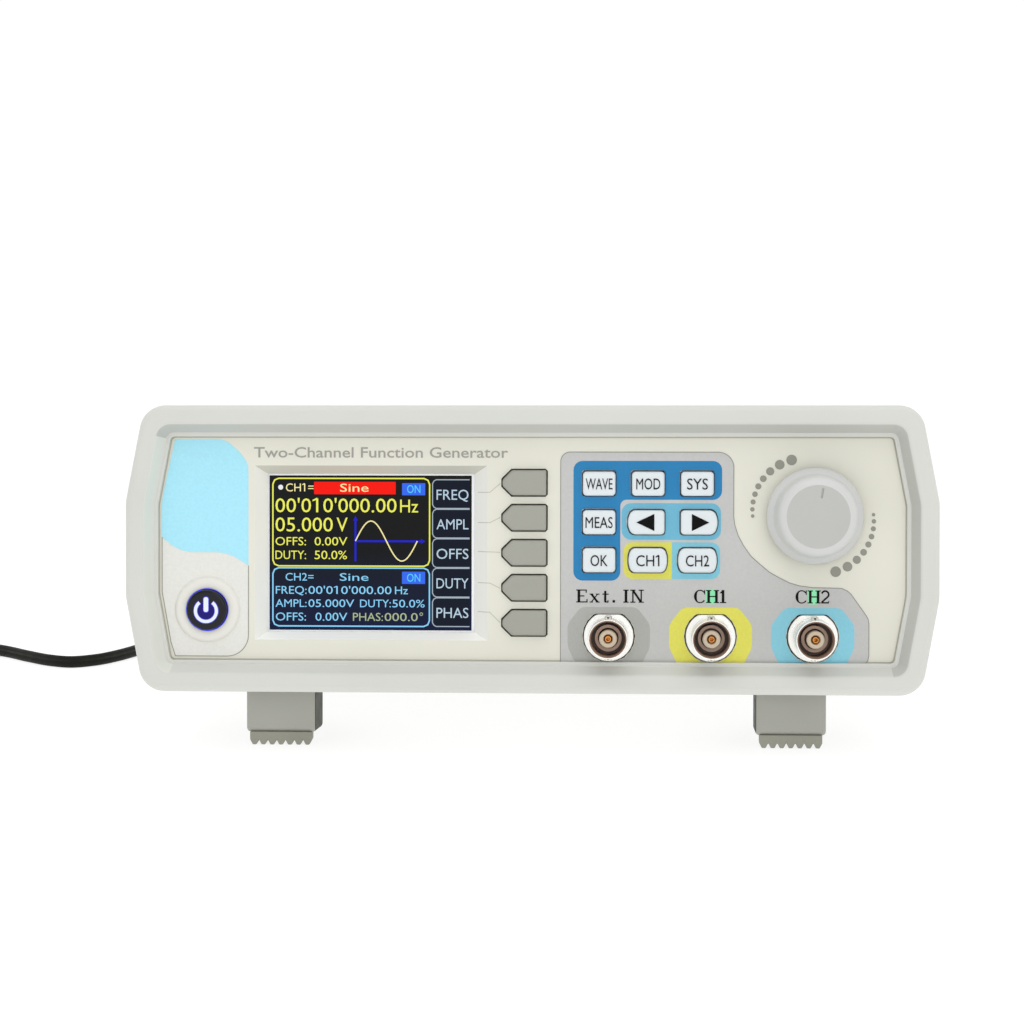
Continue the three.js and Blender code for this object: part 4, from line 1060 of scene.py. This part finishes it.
HOLES = {name: grown(outline, 0.32, x - 0.07, z + 0.08) for name, x, z, outline, legend, wide in KEYPAD}
JACK_HOLES = [[(a, min(b, JACK_Z + FLAT_TOP + 0.15)) for a, b in circle(x, JACK_Z, 6.5, 96)] for x in JACKS]
LABEL_EDGE = (
    [(7.6, 6.9)] + arc(9.9, 57.05, 2.3, 180, 90, 6) + arc(46.3, 55.5, 3.85, 88, 8, 8) + [(50.1, 43.6)]
    + [(50.35, 41.6), (51.2, 38.9), (52.6, 36.3), (54.4, 33.8), (56.5, 31.9), (58.9, 29.9), (61.4, 28.5),
       (63.8, 27.3), (66.2, 26.6), (69.6, 26.15), (73.5, 26.1), (76.5, 26.0), (77.9, 25.4), (78.8, 24.6),
       (82.5, 19.4), (83.0, 18.5), (83.2, 17.4), (83.2, 9.4), (82.9, 8.2), (81.8, 6.9)]
)
# Not print: a painted shadow line along the panel's edge, under the bezel's lip.
printed("panel_edge_painted_shadow_line", stroke(case_outline(7.85), 0.3, EDGE_SHADOW_FRONT, PRINT_BACK, True), PANEL_EDGE_PAINTED_SHADOW)
printed("label_panel", film(LABEL_EDGE, LABEL_FRONT, [*HOLES.values(), *JACK_HOLES]), LABEL_GREY)
printed("label_panel_line", stroke(LABEL_EDGE, 0.2, OUTLINE_FRONT, PRINT_BACK), LINE_GREY)


def area(name, outline, ink, *keys):
    """A coloured area of the keypad, with openings for keys."""
    printed("area_" + name, film(outline, COLOUR_FRONT, [HOLES["key_" + key] for key in keys]), ink)


area("function", arc(13.0, 29.95, 2.25, 180, 270, 6) + arc(20.05, 29.95, 2.25, 270, 360, 6) + [(22.3, 46.2)]
     + arc(23.8, 46.15, 1.5, 180, 90, 5) + arc(45.0, 49.9, 2.25, 270, 360, 6)
     + arc(45.0, 54.95, 2.25, 0, 90, 6) + arc(13.0, 54.95, 2.25, 90, 180, 6),
     INK_BLUE, "wave", "mod", "sys", "meas", "ok")
area("cursor", round_rectangle(22.6, 47.0, 37.8, 46.8, 2.3, 5), INK_SKY, "left", "right")
area("channel_1", arc(25.3, 30.35, 2.2, 180, 270, 5) + [(34.95, 28.15), (34.95, 37.2)]
     + arc(25.3, 35.0, 2.2, 90, 180, 5), INK_YELLOW, "ch1")
area("channel_2", [(34.98, 28.15)] + arc(44.6, 30.35, 2.2, 270, 360, 5) + arc(44.6, 35.0, 2.2, 0, 90, 5)
     + [(34.98, 37.2)], INK_TEAL, "ch2")
HALF_PATCH = [(8, 6.95), (10.15, 11.3), (10.15, 17), (6.85, 21.2)]
JACK_PATCH = [(-a, b) for a, b in reversed(HALF_PATCH)] + HALF_PATCH
for x, ink, name, hole in zip(JACKS, (INK_EXT, INK_JACK_1, INK_JACK_2), ("ext", "1", "2"), JACK_HOLES):
    patch = rounded_loop([(x + a, b) for a, b in JACK_PATCH], 1.2)
    printed(f"area_jack_{name}", film(patch, COLOUR_FRONT, [hole]), ink)

# Each letter's advance and its strokes: stem (middle, width), bar (two corners),
# slant (upper end, lower end, width), ring (centre, radii, angles) and hook (centre).
SERIF_HEIGHT = 3.2
SERIF = {
    "C": (2.9, [("ring", 1.5, 1.6, 1.5, 1.65, 38, 322), ("bar", 2.5, 2.1, 2.74, 3.2)]),
    "H": (3.15, [("stem", 0.7, 0.66), ("stem", 2.6, 0.66), ("bar", 0.7, 1.46, 2.6, 1.76)]),
    "1": (2.1, [("bar", 0.76, 0, 1.4, 3.2), ("bar", 0.3, 0, 1.86, 0.26),
                ("slant", 1.2, 3.2, 0.5, 2.4, 0.56)]),
    "2": (2.4, [("hook", 1.2, 2.2)]),
    "E": (3.4, [("stem", 0.75, 0.66), ("bar", 0.5, 2.92, 2.7, 3.2), ("bar", 0.5, 0, 2.9, 0.28),
                ("bar", 0.7, 1.48, 2.1, 1.76), ("bar", 2.42, 2.4, 2.7, 3.2), ("bar", 2.62, 0, 2.9, 0.85)]),
    "I": (1.8, [("stem", 0.8, 0.66)]),
    "N": (3.5, [("stem", 0.7, 0.34), ("stem", 2.75, 0.34), ("slant", 0.62, 3.2, 2.78, 0.0, 0.62)]),
    "x": (3.0, [("slant", 0.35, 2.2, 2.05, 0, 0.64), ("slant", 2.05, 2.2, 0.35, 0, 0.3),
                ("bar", 0, 1.96, 0.9, 2.2), ("bar", 1.55, 1.96, 2.45, 2.2), ("bar", 0, 0, 0.85, 0.24),
                ("bar", 1.5, 0, 2.45, 0.24)]),
    "t": (2.45, [("bar", 0.58, 0.2, 1.12, 2.9), ("bar", 0.12, 1.95, 1.7, 2.2), ("bar", 0.7, 0, 1.6, 0.3),
                 ("bar", 1.4, 0, 1.65, 0.6)]),
    ".": (1.5, [("bar", 0.2, 0, 0.82, 0.62)]),
    " ": (1.2, []),
}


def serif(text, x, z):
    """Book-face capitals from stems, thin bars and small feet, centred on x."""
    left = x - sum(SERIF[c][0] for c in text) / 2
    parts = []

    def shape(*outline):
        parts.append(film([(left + a, z + b) for a, b in outline], LETTER_FRONT))

    def bar(x0, z0, x1, z1):
        shape((x0, z0), (x1, z0), (x1, z1), (x0, z1))

    def stem(middle, width, foot=0.64, thin=0.26):
        bar(middle - width / 2, 0, middle + width / 2, SERIF_HEIGHT)
        bar(middle - foot, 0, middle + foot, thin)
        bar(middle - foot, SERIF_HEIGHT - thin, middle + foot, SERIF_HEIGHT)

    def slant(x0, z0, x1, z1, width):
        half = width / 2
        shape((x1 - half, z1), (x1 + half, z1), (x0 + half, z0), (x0 - half, z0))

    def ring(cx, cz, rx, rz, start, end, steps=32):
        outer, inner = [], []
        for s in range(steps + 1):
            a = radians(start + (end - start) * s / steps)
            thick = 0.26 + 0.44 * abs(cos(a)) ** 1.5 * (1 if cos(a) < 0 else 0.35)
            outer.append((cx + rx * cos(a), cz + rz * sin(a)))
            inner.append((cx + (rx - thick) * cos(a), cz + (rz - 0.27) * sin(a)))
        shape(*outer, *inner[::-1])

    def hook(cx, cz):
        line = arc(cx, cz, 0.85, 165, -35, 14) + [(0.3, 0.25)]
        parts.append(stroke([(left + a, z + b) for a, b in line], 0.42, LETTER_FRONT, PRINT_BACK))
        shape((0.25, 0), (2.05, 0), (2.2, 0.65), (2.05, 0.65), (1.9, 0.34), (0.25, 0.34))

    draw = {"bar": bar, "stem": stem, "slant": slant, "ring": ring, "hook": hook}
    for c in text:
        advance, strokes = SERIF[c]
        for kind, *values in strokes:
            draw[kind](*values)
        left += advance
    return joined(*parts)


for x, text, name in zip((JACKS[0] + 0.3, JACKS[1], JACKS[2]), ("Ext. IN", "CH1", "CH2"), ("ext", "1", "2")):
    printed(f"jack_legend_{name}", serif(text, x, 22.3), INK_BLACK)
    if name != "ext":
        light = film(round_rectangle(x - 1.15, x + 1.35, 22.05, 25.75, 0.35), LIGHT_FRONT)
        piece(f"channel_light_{name}", ROOT, light, LED_GREEN)

printed("area_left", film([
    (-88.2, 62.4), (-76.9, 62.4), (-75.6, 62.05), (-74.4, 61.35), (-72.2, 59.4), (-70.5, 57.2),
    (-69.95, 55.7), (-69.9, 54), (-69.9, 31.1), (-71.4, 32.1), (-73.4, 33.3), (-75.4, 34.05), (-77.5, 34.4),
    (-84.5, 34.45), (-86.8, 34.9), (-88.8, 35.9), (-90.2, 37.0), (-91.5, 38.1), (-91.75, 40), (-91.6, 46.5),
    (-91.1, 49.5),
], LABEL_FRONT), INK_PALE_BLUE)
LEFT_CORNER = [(-69.9, 14)] + arc(-75.2, 13.9, 5.3, 0, -90) + [(-88.2, 8.6), (-89.3, 12), (-91.5, 24.5)]
LEFT_LOW = [(-69.95, 31.0)] + LEFT_CORNER + [
    (-91.5, 38.0), (-90.2, 36.9), (-88.8, 35.8), (-86.8, 34.8), (-84.5, 34.35), (-77.5, 34.3), (-75.4, 33.95),
    (-73.4, 33.2), (-71.4, 32.0),
]
LEFT_LINE = [(-69.9, 31.1)] + LEFT_CORNER + [(-91.5, 38.1)]
printed("area_power", film(LEFT_LOW, POWER_FRONT, [circle(POWER_X, POWER_Z, 7.3)]), PANEL_PALE)
printed("area_left_line", stroke(LEFT_LINE, 0.2, COLOUR_FRONT, PRINT_BACK), LINE_GREY)
title = lettering("Two-Channel Function Generator", -68.5, 57.96, 2.67, COLOUR_FRONT, PRINT_BACK, 63.1,
                  weight=0.008)
printed("title", title, TITLE_INK)

# A leader from each softkey runs over the panel and down the sloping wall of the screen's recess.
for k, (rise, level) in enumerate(((2.2, 49.4), (1.3, 41.9), (-0.1, 34.7), (-1.3, 27.0), (-2.6, 19.8)), 1):
    on_wall = loft([
        [(x, y + a * 0.03, level + b * 0.09) for a, b in ((-1, -1), (1, -1), (1, 1), (-1, 1))]
        for x, y in ((-13.0, 5 + 3 * 2.5 / 3.3), (-10.5, 5.0))
    ])
    on_panel = stroke([(-10.5, level), (-9.9, level), (-7.3, level + rise)], 0.2, LABEL_FRONT, PRINT_BACK)
    printed(f"leader_{k}", joined(on_wall, on_panel), LEADER_INK)

# --- Screen: 320 by 240 dots, lit page ---
SCREEN_LEFT, SCREEN_TOP, DOT_PITCH_X, DOT_PITCH_Z = -65.14, 53.5, 50.54 / 320, 38.5 / 240
UI_BACK = 8.29
TEXT_FRONT, TEXT_BACK = 8.235, 8.28


def at(u, v):
    """The place of a screen dot, counted from the upper left corner."""
    return (SCREEN_LEFT + u * DOT_PITCH_X, SCREEN_TOP - v * DOT_PITCH_Z)


def screen_material():
    """A dark page with a faint blue glow along its lower edge."""
    n = Nodes("screen_dark")
    place = n.add("ShaderNodeSeparateXYZ")
    n.link(n.place, place.inputs["Vector"])
    low = n.spread(place.outputs["Z"], 0.0, 1.0, 0.034, 0.075)
    n.drive("Emission Color", n.ramp(low, [(0.0, srgb(8, 20, 54)), (0.32, srgb(12, 20, 34)),
                                           (0.4, srgb(13, 14, 16)), (1.0, srgb(16, 17, 14))]))
    n.drive("Emission Strength", n.spread(n.noise(2000), 0.9, 1.1))
    n.drive("Base Color", n.ramp(n.noise(900), [(0.3, srgb(5, 5, 6)), (0.7, srgb(8, 8, 9))]))
    n.drive("Roughness", n.spread(n.noise(60), 0.1, 0.18))
    n.fix(Specular_IOR_Level=0.12)
    return n.material


SCREEN_DARK = screen_material()
LENS = plastic("screen_frame", (244, 246, 248), 0.15, grain_depth=0.000002, vary=0.01)
UI = {name: lit("ui_" + name, rgb, strength) for name, rgb, strength in (
    ("yellow", (238, 240, 96), 0.95), ("cyan", (140, 212, 250), 0.95), ("white", (236, 238, 240), 0.95),
    ("red", (250, 22, 8), 0.95), ("blue", (58, 108, 246), 0.9), ("axis", (34, 34, 200), 0.95),
    ("khaki", (176, 190, 150), 0.9), ("tab", (186, 210, 226), 0.95), ("outline", (170, 184, 196), 0.9),
    ("cream", (250, 240, 170), 0.95), ("aqua", (90, 214, 250), 0.95), ("navy", (16, 24, 40), 0.9),
)}
UI_PARTS = {name: [] for name in UI}


def ui_text(colour, text, left, right, top, bottom):
    x0, z0 = at(left, bottom)
    x1, z1 = at(right, top)
    UI_PARTS[colour].append(lettering(text, x0, z0, z1 - z0, TEXT_FRONT, TEXT_BACK, x1 - x0))


def ui_box(colour, left, right, top, bottom, front=8.255):
    x0, z0 = at(left, bottom)
    x1, z1 = at(right, top)
    UI_PARTS[colour].append(slab(round_rectangle(x0, x1, z0, z1, 0.12, 2), front, UI_BACK))


def ui_line(colour, points, width, closed=False, front=8.25):
    line = [at(u, v) for u, v in points]
    UI_PARTS[colour].append(stroke(line, width * DOT_PITCH_X, front, UI_BACK, closed))


def ui_frame(colour, left, right, top, bottom, cut=9, part=0.3):
    """A frame with cut corners, in screen dots."""
    bend = cut * part
    ui_line(colour, [(left + cut, top), (right - cut, top), (right - bend, top + bend), (right, top + cut),
                     (right, bottom - cut), (right - bend, bottom - bend), (right - cut, bottom),
                     (left + cut, bottom), (left + bend, bottom - bend), (left, bottom - cut),
                     (left, top + cut), (left + bend, top + bend)], 2.2, True)


window = slab(round_rectangle(-67, -12.5, 13.2, 55.3, 0.6), 8.3, 9.2)
piece("screen_window", ROOT, window, LENS, "display_lens", bevel=0.1)
page = slab([at(0, 240), at(320, 240), at(320, 0), at(0, 0)], 8.27, 8.4)
piece("screen_face", ROOT, page, SCREEN_DARK)
ui_frame("yellow", 5.4, 253.6, 4.6, 140.6)
ui_frame("cyan", 5.4, 253.4, 143.6, 234)
ui_box("red", 70.8, 200, 9.8, 29.2)
ui_box("blue", 210, 246.6, 11.8, 30.6)
ui_box("blue", 210, 246.6, 149, 168)
UI_PARTS["white"].append(slab(circle(*at(17.8, 18.4), 0.62, 24), 8.25, UI_BACK))
# Each line of the page: its colour, top and bottom, then each word's left and right ends
for colour, top, bottom, words in (
    ("cream", 11.8, 24.8, [("CH1=", 26, 70)]),
    ("cream", 12, 25.2, [("Sine", 112, 157)]),
    ("aqua", 14, 27, [("ON", 218, 239)]),
    ("yellow", 34.4, 57.2, [("00'010'000.00", 9.5, 201.4)]),
    ("yellow", 36, 57.2, [("Hz", 207, 235.5)]),
    ("yellow", 64, 87, [("05.000", 9.5, 100.5), ("V", 106.5, 124)]),
    ("yellow", 95, 108.6, [("OFFS:", 9.5, 58), ("0.00V", 71.6, 123.5)]),
    ("yellow", 116, 130, [("DUTY:", 9.5, 58), ("50.0%", 71.6, 123)]),
    ("cyan", 151, 163.4, [("CH2=", 25.5, 70), ("Sine", 111.5, 157)]),
    ("aqua", 151.5, 164.5, [("ON", 218, 239)]),
    ("cyan", 171.2, 184, [("FREQ:", 10, 59), ("00'010'000.00", 61.8, 193.4), ("Hz", 199, 219.5)]),
    ("cyan", 191.8, 204.4, [("AMPL:", 9.5, 59), ("05.000V", 61.8, 134.4), ("DUTY:", 143.7, 192.4),
                            ("50.0%", 194.9, 246)]),
    ("cyan", 212.4, 225.6, [("OFFS:", 10, 58), ("0.00V", 73, 123.5)]),
    ("khaki", 212.4, 225.6, [("PHAS:", 132.4, 180), ("000.0", 182.6, 235)]),
):
    for text, left, right in words:
        ui_text(colour, text, left, right, top, bottom)
ORIGIN_U, ORIGIN_V = 136.4, 101.9
ui_line("axis", [(ORIGIN_U, 67), (ORIGIN_U, 133.3)], 3.1)
ui_line("axis", [(ORIGIN_U, ORIGIN_V), (243, ORIGIN_V)], 3.1)
for tip in ([(ORIGIN_U, 62.6), (132.6, 70), (140.2, 70)], [(247, ORIGIN_V), (240, 98.1), (240, 105.7)]):
    UI_PARTS["axis"].append(slab([at(u, v) for u, v in tip], 8.25, UI_BACK))
sine = [(ORIGIN_U + 97.8 * s / 48, 101.6 - 31 * sin(2 * pi * s / 48)) for s in range(49)]
ui_line("cream", sine, 1.9, front=8.24)
degree = [at(240.5 + 2.2 * a, 214.8 + 2.2 * b) for a, b in spokes(12)]
UI_PARTS["khaki"].append(stroke(degree, 0.16, TEXT_FRONT, TEXT_BACK, True))
for k, label in enumerate(("FREQ", "AMPL", "OFFS", "DUTY", "PHAS")):
    top = 6.4 + 45.75 * k
    bottom = top + 44.4
    ui_box("navy", 259, 316.4, top + 1, bottom - 1, 8.262)
    ui_line("outline", [(316.6, top), (264, top), (260.4, top + 2), (258.2, top + 6), (258.2, bottom - 6),
                        (260.4, bottom - 2), (264, bottom), (316.6, bottom)], 1.6)
    ui_text("tab", label, 264.5, 315, top + 14.4, top + 31)
for colour, parts in UI_PARTS.items():
    piece(f"screen_{colour}", ROOT, joined(*parts), UI[colour])

# --- Tilt feet and rear feet ---
FOOT_CENTRES = {"left": -64, "right": 65.1}
FOOT_HALF = 8.85
FOOT_EDGE = 1.0
HINGE_Y, HINGE_Z = 24.5, 5.5
HINGE_PIN = 1.5
PIN_REACH = 1.4
FOOT_CORNERS = [(-4.5, 0), (-4.5, -17.4), (10.5, -17.4), (10.5, -5.2), (4.5, -5.2)]
FOOT_CORNERS += arc(0, 0, 4.5, 0, 150, 5)
PAD_TOP, PAD_SEAT = -13.0, -11.7


def shrunk(outline, inset):
    """An anticlockwise outline with every side moved inwards."""
    count = len(outline)
    return [inset_corner(outline[i - 1], outline[i], outline[(i + 1) % count], inset) for i in range(count)]


def foot_block(x):
    """The folding foot about its hinge: a deep block with rounded sides, and its two hinge pins."""
    outline = rounded_loop(FOOT_CORNERS, 1.7)
    rings, pins = [], []
    for sign in (-1, 1):
        sides = [(FOOT_HALF, FOOT_EDGE + 0.12)]
        for step in range(6):
            a = radians(90 - 18 * step)
            sides.append((FOOT_HALF - FOOT_EDGE * (1 - sin(a)), FOOT_EDGE * (1 - cos(a)) * 0.98))
        rings += [[(x + sign * reach, HINGE_Y + y, HINGE_Z + z) for y, z in shrunk(outline, inset)]
                  for reach, inset in sides[::-sign]]
        ends = [x + sign * reach for reach in (FOOT_HALF - 0.5, FOOT_HALF + PIN_REACH)]
        pins.append(loft([[(end, HINGE_Y + HINGE_PIN * a, HINGE_Z + HINGE_PIN * b) for a, b in spokes(24)]
                          for end in ends]))
    return joined(loft(rings), *pins)


def make_foot(side, x):
    """A folding foot, with painted shade on the side that faces the middle, and its ribbed pad."""
    inner = -1 if x > 0 else 1
    foot = piece(f"tilt_foot_{side}_block", f"{side}_tilt_foot", foot_block(x), FOOT,
                 f"tilt_foot_{side}", smooth=50)
    paint(foot, FOOT_CHEEK_PAINTED_SHADE, lambda p: (p.x - x) * inner > FOOT_HALF - 0.3
          and hypot(p.y - HINGE_Y, p.z - HINGE_Z) > HINGE_PIN + 0.1)
    pad = refined(f"tilt_foot_pad_{side}", PAD, 0.2, f"{side}_tilt_foot")
    raise_top(pad, PAD_TOP, PAD_SEAT)
    refined(f"rear_foot_{side}", RUBBER, 0.6, segments=3)


for side, x in FOOT_CENTRES.items():
    make_foot(side, x)

# --- Back and inside ---
for text, x in (("DC 5V", -58), ("USB", -20), ("TTL", 25)):
    points, faces = lettering(text, -x, 27.4, 2.2, -170.07, -170.0, centred=True)
    printed("rear_legend_" + text.split()[0].lower(), ([(-a, -b, c) for a, b, c in points], faces), TITLE_INK)
for node, material, slot, width in (
    ("dc_jack", BLACK, "black_plastic", 0.2), ("usb_port", PLATED, "nickel", 0.15),
    ("ttl_header", BLACK, "black_plastic", 0.12), ("heatsink", ALUMINIUM, "heatsink_aluminium", 0.15),
    ("ribbon_cable", RIBBON, "ribbon", 0.1), ("display_module", FRAME_STEEL, "display_module", 0.2),
):
    refined(node, material, width)
front_board = refined("front_board", BOARD, 0.1)
main_board = refined("main_board", BOARD, 0.1)
# The parts that stand on the boards are black.
paint(main_board, BLACK, lambda p: p.z > 13.75)
paint(front_board, BLACK, lambda p: p.y < 13.4 or p.y > 15.2)

# --- Floor and light ---
FLOOR_HALF = 6
FLOOR_GREY = 0.3
HORIZON = 1.03
DIM_FRONT = 0.45


def make_floor():
    mesh = bpy.data.meshes.new("floor")
    corners = [(-1, -1), (1, -1), (1, 1), (-1, 1)]
    mesh.from_pydata([(x * FLOOR_HALF, y * FLOOR_HALF, 0) for x, y in corners], [], [(0, 1, 2, 3)])
    floor = add_object("floor", mesh)
    n = Nodes("floor")
    n.mottle(n.noise(3.0, 2.0), (FLOOR_GREY, FLOOR_GREY, FLOOR_GREY), 29 / 30, 31 / 30)
    n.fix(Emission_Color=(1, 1, 1, 1), Emission_Strength=0.8, Roughness=0.9, Specular_IOR_Level=0.0)
    mesh.materials.append(n.material)


def softbox(name, place, target, width, height, power):
    data = bpy.data.lights.new(name, "AREA")
    data.shape = "RECTANGLE"
    data.size, data.size_y = width, height
    data.energy = power
    light = add_object(name, data)
    light.location = place
    light.rotation_euler = (Vector(target) - Vector(place)).to_track_quat("-Z", "Y").to_euler()


def make_world():
    """White all round, and dimmer high up in front of the object than behind it."""
    world = bpy.data.worlds.new("studio")
    n = Nodes("studio", world, "Background", "Generated")
    way = n.add("ShaderNodeSeparateXYZ")
    n.link(n.place, way.inputs["Vector"])
    front = n.spread(way.outputs["Y"], DIM_FRONT - HORIZON, 0.0, -0.35, 0.25)
    high = n.spread(way.outputs["Z"], 0.0, 1.0, 0.22, 0.4)
    strength = n.add("ShaderNodeMath", operation="MULTIPLY_ADD")
    n.link(front, strength.inputs[0])
    n.link(high, strength.inputs[1])
    strength.inputs[2].default_value = HORIZON
    n.drive("Strength", strength.outputs["Value"])
    n.fix(Color=(1, 1, 1, 1))
    bpy.context.scene.world = world


make_floor()
make_world()
softbox("overhead", (0.05, -0.45, 1.25), (0, 0, 0), 1.3, 1.0, 5.5)
softbox("front", (0.35, -1.6, 0.75), (0, 0, 0.05), 1.0, 0.9, 3)
bpy.context.scene.view_settings.view_transform = "Standard"
